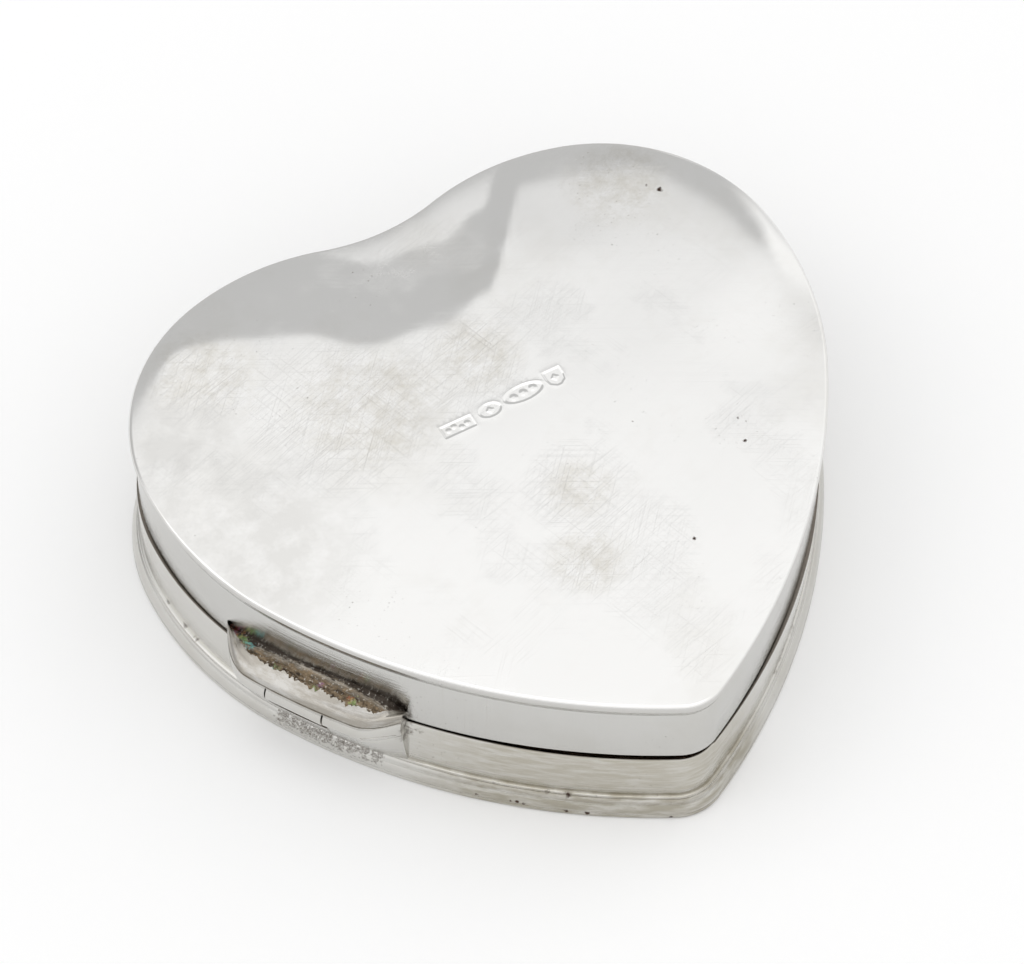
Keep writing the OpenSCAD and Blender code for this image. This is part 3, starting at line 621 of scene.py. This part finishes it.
# Grime round the hinge's tip end, placed from the pin, and specks where the hinge's foot meets the moulding
GRIME_PLACES = ((-3, 12.6, 1.6, 1.5), (-3, 11.6, 3, 1.6), (-2.5, 13.3, 0, 1.2), (-3, 12.8, -2.2, 1.2),
                (-3, 14.5, -1.4, 0.9), (-2.6, 9.4, 3.6, 0.9), (-2.6, 6, 4.2, 0.7), (-2.6, 1.5, 4.3, 0.6))
END_GRIME = [(*on_hinge(x, y, z), reach) for x, y, z, reach in GRIME_PLACES]
FOOT_SPECKS = [(*on_hinge(-1.7 - 0.012 * y * y, y, -9.6), 1.2)
               for y in (-4, -2.4, -0.8, 0.8, 2.4, 4, 5.6, 7.2, 8.8)]

# Areas made duller and darker: by a film on the plate and the hood, and over the front flank; and the line of
# painted shade in the gap under the middle knuckle: its middle, half length and reach
FRONT_DARKER = ((-13, -36, 3, 26), (2, -42, 3, 14))
PLATE_DULL = ((-40, 6, 24.5, 20), (-37, 22, 24.5, 9))
HOOD_DULL = ((*PIN, 30),)
KNUCKLE_SHADE_LINE = ((on_hinge(0.97, -0.17, -2.15), 4.1, 0.5),)

PLATE_SILVER = silver("silver_plate", (0.935, 0.93, 0.915), face=True, pits=FACE_PITS, dull=PLATE_DULL,
                      film=(0.86, 0.855, 0.845), rim=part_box("base_plate")[0].z / MM + 0.5)
WALL_SILVER = silver("silver_wall", (0.59, 0.585, 0.565), 0.5, 0.25, (0.12, 0.22), True, dirt=END_GRIME)
LID_SILVER = silver("silver_lid", (0.66, 0.65, 0.62), 0.5, 0.4, (0.12, 0.24), True, False, RIM_PITS,
                    list(WALL_BLOTCHES) + END_GRIME, FOOT_SPECKS, FRONT_DARKER, lip=True)
HINGE_SILVER = silver("silver_hinge", (0.6, 0.59, 0.56), 0.8, 0.5, (0.14, 0.26), True, dirt=END_GRIME,
                      specks=FOOT_SPECKS, shade_lines=KNUCKLE_SHADE_LINE)
HOOD_SILVER = silver("silver_hood", (0.56, 0.55, 0.53), 0.8, 0.5, (0.15, 0.28), True, dirt=END_GRIME,
                     dull=HOOD_DULL, film=(0.66, 0.63, 0.58))
MOULD_SILVER = silver("silver_moulding", (0.66, 0.65, 0.62), 0.5, 0.4, (0.12, 0.24), True, False, RIM_PITS,
                      WALL_BLOTCHES, FOOT_SPECKS, FRONT_DARKER, film=(0.6, 0.57, 0.5))
INNER_SILVER = silver("silver_inner", (0.8, 0.79, 0.76), wear=0.6, tarnish=0.4, haze=(0.22, 0.34))
RIM_TARNISH_AND_SHADE = rim_tarnish_and_shade("silver_rim_tarnish_and_shade")
BRASS = brushed("brass", (0.83, 0.62, 0.28), (0.6, 0.4, 0.15))
STEEL = brushed("steel", (0.62, 0.62, 0.63), (0.42, 0.41, 0.4), (4.0, 0.1, 4.0), (0.2, 0.32))
BLUED = brushed("blued_steel", (0.05, 0.09, 0.26), (0.03, 0.04, 0.1), (2.0, 2.0, 2.0), (0.18, 0.3))
NICKEL = brushed("nickel", (0.74, 0.72, 0.67), (0.55, 0.52, 0.46), (0.1, 4.0, 4.0), (0.2, 0.34))
VELVET = velvet("velvet")
ACRYLIC = clear_plastic("acrylic")
FINISHES = {"silver": INNER_SILVER, "brass": BRASS, "steel": STEEL, "blued_steel": BLUED,
            "nickel": NICKEL, "velvet": VELVET, "acrylic": ACRYLIC}


def finish_nodes():
    """Gives each CAD node the material of its slot."""
    for part in frame["record"]["subparts"]:
        slots = nodes[part["node"]].data.materials
        slots.clear()
        slots.append(FINISHES[part["material_slot"]])
    for name, material in (("base_bezel", RIM_TARNISH_AND_SHADE), ("lid_panel", LID_SILVER)):
        nodes[name].data.materials[0] = material


# ---------------------------------------------------------------- case

WALL_T = 0.6
BASE_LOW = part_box("base_wall")[0].z / MM
BASE_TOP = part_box("base_wall")[1].z / MM
LID_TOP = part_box("lid_wall")[1].z / MM
PANEL_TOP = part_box("lid_panel")[1].z / MM
MOULD_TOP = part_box("lid_moulding")[1].z / MM
MOULD_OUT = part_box("lid_moulding")[1].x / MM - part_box("base_wall")[1].x / MM
PLATE_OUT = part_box("base_plate")[1].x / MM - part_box("base_wall")[1].x / MM
PLATE_LOW, PLATE_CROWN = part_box("base_plate")[0].z / MM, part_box("base_plate")[1].z / MM
PLATE_EDGE = PLATE_LOW + 0.8


# Wear: how far each wall stands back from the split at most, how far the lid's outer face has shifted on its
# slack hinge, and how far its rim is spread at most, on the right flank
GAPE = 0.28
SHIFT = Vector((-0.3, 0.1))
RIM_SPREAD = 0.7


def ajar(p):
    """How far the worn box stands open at a place: nothing at the hinge, most away from it."""
    return GAPE * smoothstep(((p - PIN.xy).length - 14) / 24)


def slipped(n, offset, z):
    """Shifts and spreads the lid's outer face, where the wall faces n, and leaves the inner face alone."""
    if offset < -0.3:
        return offset
    right_flank = smoothstep((n.x - 0.35) / 0.35) * smoothstep((0.93 - n.x) / 0.2) * smoothstep(-n.y / 0.3)
    upper = smoothstep((z - MOULD_TOP) / (LID_TOP - MOULD_TOP))
    return offset + max(-0.3, SHIFT.dot(n)) + right_flank * (RIM_SPREAD * upper)


def lift_edge(level, sign):
    """Moves a wall's points that lie near the split by the gap's opening."""
    def height(p, z):
        return sign * ajar(p) if abs(z - level) < 0.4 else 0
    return height


def make_walls():
    base = edge_round(0, -WALL_T, BASE_LOW, BASE_TOP - 1.6, 0.14)
    top = [(-WALL_T, BASE_TOP), (0.36, BASE_TOP), (0.34, BASE_TOP - 0.5), (0.2, BASE_TOP - 0.95),
           (0.06, BASE_TOP - 1.25)]
    profile = [base[0]] + top + base[4:]
    sweep("base_wall_sheet", profile, WALL_SILVER, "base", ["base_wall"], lift_edge(BASE_LOW, 1))
    lid = edge_round(0, -WALL_T, PANEL_TOP, LID_TOP, 0.14)
    sweep("lid_wall_sheet", lid, LID_SILVER, "lid", ["lid_wall"], lift_edge(LID_TOP, -1), slipped)


def make_moulding():
    """A rounded band with a shallow line in its face and a fine bead along its top."""
    share = ((0.0, 0.0), (0.72, 0.0), (0.86, 0.015), (0.95, 0.06), (0.99, 0.13), (1.0, 0.19), (0.99, 0.235),
             (0.955, 0.25), (0.98, 0.265), (0.965, 0.36), (0.92, 0.46), (0.84, 0.56), (0.74, 0.65),
             (0.62, 0.73), (0.49, 0.79), (0.38, 0.83), (0.31, 0.845), (0.28, 0.86), (0.3, 0.9), (0.3, 0.945),
             (0.25, 0.985), (0.16, 1.0), (0.0, 1.0))
    profile = [(a * MOULD_OUT - (0.35 if a == 0 else 0), b * MOULD_TOP) for a, b in share]
    sweep("lid_moulding_band", profile, MOULD_SILVER, "lid", ["lid_moulding"], reach=slipped)


def punch_rectangle(x, y):
    return max(abs(x) - 2.15, abs(y) - 0.9)


def punch_oval(half_length, half_height):
    def depth(x, y):
        return (math.hypot(x / half_length, y / half_height) - 1) * half_height
    return depth


def punch_shield(x, y):
    return max(abs(x) - 1.2 + 0.25 * max(0, -y), abs(y) - 1.25, abs(x) * 0.7 - y - 1.45)


def dots(places, radius):
    """Relief of small raised rounds inside a punch."""
    def height(x, y):
        return max(smoothstep(1.5 - math.hypot(x - u, y - v) / radius) for u, v in places)
    return height


def lozenge(x, y):
    return smoothstep((0.62 - abs(x) - abs(y)) / 0.25)


# Generic marks in a row across the heart: centre, outline, relief
PUNCHES = (
    ((-6.4, 7.5), punch_rectangle, dots(((-1.3, 0), (-0.45, 0.25), (0.45, -0.25), (1.3, 0)), 0.3)),
    ((-1.7, 7.8), punch_oval(1.5, 1.0), lozenge),
    ((3.2, 8.1), punch_oval(2.7, 1.15), dots(((-1.4, -0.1), (0, 0), (1.4, 0.1)), 0.42)),
    ((7.8, 8.25), punch_shield, lozenge),
)


# The punches' depth, the height of the relief in them and of the burr round them
PUNCH_DEPTH = 0.085
RELIEF = 0.05
BURR = 0.01


def punch_height(p):
    """How far the punches sink the plate at a point."""
    total = 0
    for (x, y), outline, relief in PUNCHES:
        u, v = p.x - x, p.y - y
        if abs(u) < 3.4 and abs(v) < 2:
            d = outline(u, v)
            sunk = smoothstep(-d / 0.16 + 0.3)
            burr = math.exp(-((d - 0.12) / 0.12) ** 2)
            total += -PUNCH_DEPTH * sunk + RELIEF * sunk * relief(u, v) + BURR * burr
    return total


# The plate leans back beyond a wavy line across its lobes, up to this slope and this depth
LEAN_SLOPE = 0.052
LEAN_DEPTH = 0.68
# Places along that line: how far beside the middle, and how far ahead of it
LEAN = ((-60, 14.5), (-47, 15.9), (-36, 17.6), (-28.5, 18.3), (-20.8, 16.2), (-11.4, 19.4), (-5.8, 24.5),
        (-1.2, 43), (60, 60))


def past_line(p):
    """How far a place lies beyond the line."""
    return AHEAD.dot(p) - along_values(LEAN, BESIDE.dot(p))


# The plate's turned edge. Inside it the plate climbs to its crown, slowly along the near edges, and over a
# shorter reach at the lobes
TURN_WIDTH = 0.36
TURN_DROP = 0.3
SLOW_CLIMB = 9
CLIMB_CHANGE = 7.8


def make_plate():
    """The pillowed bottom plate, with a bright turned edge and the row of punched marks."""
    loop = ring(PLATE_OUT)
    away = edge_distance(loop)

    def crown(p):
        d = away(p)
        past = past_line(p)
        edge = PLATE_EDGE - TURN_DROP * (1 - min(1, d / TURN_WIDTH)) ** 2
        rise = (PLATE_CROWN - PLATE_EDGE) * 0.97
        rise -= min(LEAN_DEPTH, LEAN_SLOPE / 2 * (past + math.hypot(past, 0.7)))
        lobe = smoothstep((p.x + 5) / 22) * smoothstep((p.y + 6) / 22)
        reach = SLOW_CLIMB - CLIMB_CHANGE * max(lobe, smoothstep((past + 16) / 18))
        ripple = 0.02 * noise.noise((p.x / 13, p.y / 13, 4.2)) * smoothstep(d / 8)
        return edge + rise * (1 - math.exp(-max(0, d - TURN_WIDTH) / reach)) + ripple + punch_height(p)

    extra = []
    for inset in (0.1, 0.22, 0.36, 0.5, 0.7, 1.1, 1.7, 2.6):
        extra += ring(PLATE_OUT - inset)
    extra += grid_points(loop, 0.9, lambda p: inside(loop, p) and away(p) > 3.0)
    for (x, y), outline, relief in PUNCHES:
        box = [Vector((x - 3, y - 1.6)), Vector((x + 3, y + 1.6))]
        extra += grid_points(box, 0.11, lambda p: outline(p.x - x, p.y - y) < 0.3)
    slab("base_plate_sheet", loop, extra, crown, PLATE_LOW, PLATE_SILVER, "base", ["base_plate"], 50)


# ---------------------------------------------------------------- hinge

# The pin stands this far out from the wall, and the hinge runs this far each way along it
PIN_OUT = 2.6
HINGE_HALF = 12.9
MIDDLE = (-4.1, 3.75)  # the middle knuckle's ends
TUBE_R = 2.0
HOOD_R = 2.6
HOOD_IN = 2.15
# Angles about the pin, in degrees up from OUTWARD: where the hood's face ends and its lip starts, and where
# a knuckle runs into the apron
HOOD_EDGE = 47
KNUCKLE_END = -67
# The hood's rolled lip, by radius and angle
HOOD_LIP = ((2.57, 46.2), (2.44, 45.2), (2.42, 44.2), (2.52, 43.2), (2.56, 42), (2.5, 40.6),
            (2.35, 40), (2.2, 40.2))


def wall_depth():
    """For places along the pin, how far behind the pin the wall's face lies."""
    near = []
    for p in ring(0):
        offset = Vector((p.x, p.y, PIN.z)) - PIN
        if abs(offset.dot(OUTWARD)) < 9 and abs(offset.dot(ALONG)) < 20:
            near.append((offset.dot(ALONG), offset.dot(OUTWARD)))
    near.sort()

    def depth(y):
        for (y0, x0), (y1, x1) in zip(near, near[1:]):
            if y0 <= y <= y1:
                return x0 + (x1 - x0) * (y - y0) / max(1e-9, y1 - y0)
        return near[0][1]
    return depth


WALL_BEHIND = wall_depth()


def taper(y):
    """Share of the hinge's full depth at a place along the pin: it closes to the wall at both ends."""
    if y < -7:
        return 1 - ((-7 - y) / 5.95) ** 2
    if y > 8:
        return 1 - ((y - 8) / 6.3) ** 2
    return 1.0


# Height at which the hood meets the wall, above the split
HOOD_RISE = ((-12.9, 1.3), (-9, 2.8), (-4.5, 3.3), (0, 3.7), (5, 3.95), (9.5, 3.6), (12.9, 1.8))


def polar(radius, degrees):
    return (radius * math.cos(math.radians(degrees)), radius * math.sin(math.radians(degrees)))


def hood_surface(y, t):
    """A point on the hood's outside: t runs from 0 at the wall to 1 at the lip."""
    rise = along_values(HOOD_RISE, y)
    wall = WALL_BEHIND(y)
    reach = math.hypot(PIN_OUT, rise)
    tangent = math.degrees(math.atan2(rise, -PIN_OUT) - math.acos(min(1, HOOD_R / reach)))
    tangent = max(tangent, HOOD_EDGE + 4)
    straight = 0.62
    if t < straight:
        share = t / straight
        end = polar(HOOD_R, tangent)
        x = -PIN_OUT + (end[0] + PIN_OUT) * share
        z = rise + (end[1] - rise) * share + 0.12 * math.sin(math.pi * share)
    else:
        share = (t - straight) / (1 - straight)
        x, z = polar(HOOD_R, tangent + (HOOD_EDGE - tangent) * share)
    return wall + (x + PIN_OUT) * taper(y), z


def trimmed(x, y):
    """Draws a depth towards the wall where the hinge tapers."""
    wall = WALL_BEHIND(y)
    return wall + (x + PIN_OUT) * taper(y)


def steps(a, b, count):
    return [a + (b - a) * i / count for i in range(count + 1)]


def make_hood():
    """The base's leaf: a hood that rises from the wall and covers the knuckles."""
    rings = []
    for y in steps(-HINGE_HALF, HINGE_HALF, 86):
        wall = WALL_BEHIND(y) - 0.4
        rise = hood_surface(y, 0)[1]
        section = [(wall, 0.2), (wall, rise)]
        section += [hood_surface(y, t) for t in steps(0, 1, 28)]
        lip = [polar(r, a) for r, a in HOOD_LIP]
        inner = [polar(HOOD_IN, a) for a in steps(42, 174, 12)]
        section += [(trimmed(x, y), z) for x, z in lip + inner]
        rings.append([on_hinge(x, y, z) for x, z in section])
    verts, faces = loft(rings, True)
    build("hinge_hood", verts, faces, HOOD_SILVER, "base", ["base_hinge_leaf"], 35)


def barrel(name, low, high, radius, material, body, replaced=()):
    """A round of the hinge between two places along the pin, with softened ends."""
    rings = []
    for y, r in ((low, radius - 0.1), (low + 0.03, radius - 0.03), (low + 0.1, radius),
                 (high - 0.1, radius), (high - 0.03, radius - 0.03), (high, radius - 0.1)):
        rings.append([on_hinge(x, y, z) for x, z in [polar(r, a * 7.5) for a in range(48)]])
    verts, faces = loft(rings, True)
    return build(name, verts, faces, material, body, replaced, 40)


def leaf_section(y, knuckle):
    """Section of the lid's leaf: a knuckle or the hollow for the base's knuckle, over the apron."""
    wall = WALL_BEHIND(y)
    split = -0.15
    foot = MOULD_TOP - PIN.z
    section = [(wall - 0.4, foot), (wall - 0.4, split)]
    if knuckle:
        arc = [polar(TUBE_R, a) for a in steps(184, KNUCKLE_END, 30)]
        notch, shoulder = (0.85, -2.2), (0.95, -2.5)
    else:
        arc = [polar(TUBE_R + 0.12, a) for a in steps(184, 360 + KNUCKLE_END, 30)]
        notch, shoulder = (0.86, -2.35), (1.08, -2.5)
    back, down = 0.95 - PIN_OUT - shoulder[0], foot - shoulder[1]
    apron = [notch, shoulder]
    for s in steps(0.04, 1, 12):
        bulge = 0.18 * math.sin(math.pi * s)
        apron.append((shoulder[0] + back * s + bulge, shoulder[1] + down * s))
    section += [(trimmed(x, y), z) for x, z in arc + apron]
    return [on_hinge(x, y, z) for x, z in section]


def make_lid_leaf():
    """The lid's leaf: an apron that runs down to the moulding, with a knuckle at each end."""
    low, high = MIDDLE[0] - 0.2, MIDDLE[1] + 0.2
    rings = [leaf_section(y, True) for y in steps(-HINGE_HALF, low, 28)]
    rings += [leaf_section(y, False) for y in steps(low, high, 20)]
    rings += [leaf_section(y, True) for y in steps(high, HINGE_HALF, 30)]
    verts, faces = loft(rings, True)
    build("hinge_apron", verts, faces, HINGE_SILVER, "lid", ["lid_hinge_leaf"], 35)


def hood_place(y, t, proud):
    """A place above the hood's outside, at a height measured along its normal."""
    x, z = hood_surface(y, t)
    u, v = hood_surface(y, t + 0.01)
    out = Vector((z - v, u - x)).normalized() * proud
    return on_hinge(x + out.x, y, z + out.y)


def film_spots(*spots):
    return [(*hood_place(y, t, 0), reach) for y, t, reach in spots]


def make_crust():
    """Lumpy corrosion over the upper half of the hood, with a ragged lower border."""
    red = film_spots((-11.6, 0.12, 0.9), (-10.9, 0.35, 0.6), (-10.2, 0.05, 0.5), (-3.3, 0.58, 0.4),
                     (6.5, 0.3, 0.4))
    green = film_spots((-10.2, 0.2, 0.55), (-9.3, 0.24, 0.5), (-3.9, 0.38, 0.45), (1.8, 0.5, 0.7),
                       (6.9, 0.35, 0.5))
    blue = film_spots((-8.5, 0.27, 0.55), (-4.3, 0.45, 0.3))
    purple = film_spots((-11.2, 0.3, 0.5), (2.2, 0.27, 0.35))
    films = ((rgb(0.55, 0.13, 0.07), red), (rgb(0.24, 0.4, 0.14), green), (rgb(0.16, 0.5, 0.5), blue),
             (rgb(0.3, 0.13, 0.28), purple))
    glints = film_spots((-2.9, 0.42, 0.4), (-9.0, 0.5, 0.4))
    material = crust("hinge_crust", PIN.dot(OUTWARD) - PIN_OUT, films, glints)
    rows = steps(-HINGE_HALF + 0.1, HINGE_HALF - 0.05, 190)
    shares = steps(0, 0.66, 40)
    top, low = [], []
    for y in rows:
        for t in shares:
            lump = noise.fractal((y * 0.8, t * 7, 3), 0.9, 2.1, 5)
            border = 0.45 + 0.08 * noise.noise((y * 0.55, 7, 1)) + 0.05 * noise.noise((y * 2.3, 2, 5))
            border += 0.05 * noise.noise((y * 4.1, t * 6, 8))
            thick = max(0.06, 0.09 + 0.09 * lump)
            thick *= smoothstep((border - t) / 0.1) * smoothstep((y + HINGE_HALF) / 0.5)
            thick *= smoothstep((HINGE_HALF - y) / 0.5)
            top.append(hood_place(y, t, thick - 0.03))
            low.append(hood_place(y, t, -0.1))
    count = len(shares)
    total = len(top)
    faces = []
    for j in range(len(rows) - 1):
        for i in range(count - 1):
            a = j * count + i
            quad = (a, a + 1, a + count + 1, a + count)
            faces.append(quad)
            faces.append(tuple(v + total for v in reversed(quad)))
    rim = list(range(count)) + [j * count + count - 1 for j in range(1, len(rows))]
    rim += [(len(rows) - 1) * count + i for i in range(count - 2, -1, -1)]
    rim += [j * count for j in range(len(rows) - 2, 0, -1)]
    for k, a in enumerate(rim):
        b = rim[(k + 1) % len(rim)]
        faces.append((a, b, b + total, a + total))
    build("hinge_crust", top + low, faces, material, "base", (), 60)


def make_end_mark():
    """The long oval edge of the tube where the leaf's tip end is filed to a slope."""
    rings = []
    for k in range(64):
        a = 2 * math.pi * k / 64
        y = 10.7 + 1.75 * math.cos(a)
        z = -0.75 + 0.5 * math.sin(a) - 0.1 * math.cos(a)
        x = trimmed(math.sqrt(TUBE_R ** 2 - z * z), y)
        centre = on_hinge(x, y, z)
        out = (OUTWARD + ALONG * 0.7 * smoothstep((y - 8) / 2) + Vector((0, 0, z / TUBE_R))).normalized()
        side = out.cross(ALONG * -math.sin(a) + Vector((0, 0, math.cos(a)))).normalized()
        rings.append([centre + out * 0.07 * math.cos(b) + side * 0.08 * math.sin(b)
                      for b in (2 * math.pi * i / 8 for i in range(8))])
    verts, faces = loft(rings)
    build("hinge_end_mark", verts, faces, HINGE_SILVER, "lid", (), 60)


# ---------------------------------------------------------------- linings


def inward(loop, inset):
    """Points moved in from a loop along its corners' inward normals."""
    found = []
    for i, p in enumerate(loop):
        a, b = loop[i - 1], loop[(i + 1) % len(loop)]
        along = (b - a).normalized()
        found.append(p + Vector((-along.y, along.x)) * inset)
    return found


def turned_left(loop):
    """The same loop, run with its inside on the left."""
    area = sum(a.x * b.y - b.x * a.y for a, b in zip(loop, loop[1:] + loop[:1]))
    return loop if area > 0 else loop[::-1]


def pad(name, loop, z0, z1, body, replaced, seed):
    """A velvet pad that is flat below and rounds over at its edge."""
    loop = turned_left(loop)
    away = edge_distance(loop)
    lift = 1 if z1 > z0 else -1

    def crown(p):
        d = min(1, away(p) / 1.3)
        full = z0 + (z1 - z0) * (0.35 + 0.65 * math.sqrt(1 - (1 - d) ** 2))
        return full - lift * d * (0.05 + 0.05 * noise.noise((p.x / 7, p.y / 7, seed)))

    extra = []
    for inset in (0.12, 0.3, 0.6, 1.0, 1.5):
        extra += [p for p in inward(loop, inset) if inside(loop, p) and away(p) > inset * 0.9]
    extra += grid_points(loop, 1.5, lambda p: inside(loop, p) and away(p) > 2.2)
    obj = slab(name, loop, extra, crown, z0, VELVET, body, replaced, 60)


def cut_below(loop, level):
    """The part of a loop below a level, closed along it."""
    kept = []
    for i, b in enumerate(loop):
        a = loop[i - 1]
        if (a.y > level) != (b.y > level):
            share = (level - a.y) / (b.y - a.y)
            kept.append(a + (b - a) * share)
        if b.y <= level:
            kept.append(b)
    return kept


def close_gaps(loop, spacing=0.8):
    """Adds points along a loop's long straight runs."""
    found = []
    for a, b in zip(loop, loop[1:] + loop[:1]):
        count = max(1, round((b - a).length / spacing))
        found += [a + (b - a) * i / count for i in range(count)]
    return found


def make_linings():
    low, high = (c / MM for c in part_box("lid_lining"))
    pad("lid_lining_pad", ring(-0.85), low.z, high.z, "lid", ["lid_lining"], 1.5)
    low, high = (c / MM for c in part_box("tray_lining"))
    tray = close_gaps(cut_below(ring(-1.4), high.y))
    pad("tray_lining_pad", tray, high.z, low.z, "base", ["tray_lining"], 8.5)
    low, high = (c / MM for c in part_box("tray_side_lining"))
    outer = turned_left(close_gaps(cut_below(ring(-1.3), high.y)))
    rings = []
    for inset, z in ((0, low.z), (0.0, high.z), (0.55, high.z), (0.66, high.z - 0.3), (0.7, high.z - 1.5),
                     (0.66, low.z + 1.5), (0.6, low.z + 0.2), (0.45, low.z + 0.02), (0.2, low.z)):
        loop = inward(outer, inset) if inset else outer
        rings.append([(p.x, p.y, z + 0.03 * noise.noise((p.x, p.y, z))) for p in loop])
    verts, faces = loft(rings)
    side = build("tray_side_pad", verts, faces, VELVET, "base", ["tray_side_lining"], 60)


# ---------------------------------------------------------------- movement details


def make_tune_pins():
    """Rows of fine pins on the cylinder, placed as a tune would place them."""
    rng = random.Random(7)
    low, high = (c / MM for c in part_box("cylinder_sleeve"))
    axis = Vector(joints["cylinder_spin"]["pos_m"]) / MM
    radius = 3.3
    teeth = 18
    pitch = (high.x - low.x - 0.4) / teeth
    verts, faces = [], []
    for tooth in range(teeth):
        x = low.x + 0.2 + (tooth + 0.5) * pitch
        for turn in sorted(rng.sample(range(12, 340, 9), 11)):
            a = math.radians(turn)
            out = Vector((0, math.sin(a), math.cos(a)))
            side = Vector((0, math.cos(a), -math.sin(a)))
            start = len(verts)
            for reach, r in ((radius - 0.1, 0.09), (radius + 0.22, 0.085), (radius + 0.26, 0.05)):
                for k in range(8):
                    b = math.radians(45 * k)
                    spoke = Vector((math.cos(b), 0, 0)) + side * math.sin(b)
                    verts.append(Vector((x, axis.y, axis.z)) + out * reach + spoke * r)
            for level in (0, 8):
                for k in range(8):
                    this, after = start + level + k, start + level + (k + 1) % 8
                    faces.append((this, after, after + 8, this + 8))
            faces.append(tuple(start + 16 + k for k in range(8)))
            faces.append(tuple(start + 7 - k for k in range(8)))
    build("cylinder_tune_pins", verts, faces, STEEL, "cylinder", (), 40)


make_camera()
make_studio()
finish_nodes()
make_walls()
make_moulding()
make_plate()
make_hood()
barrel("hinge_middle_knuckle", MIDDLE[0], MIDDLE[1], TUBE_R, HINGE_SILVER, "base")
make_lid_leaf()
make_crust()
make_end_mark()
make_linings()
make_tune_pins()
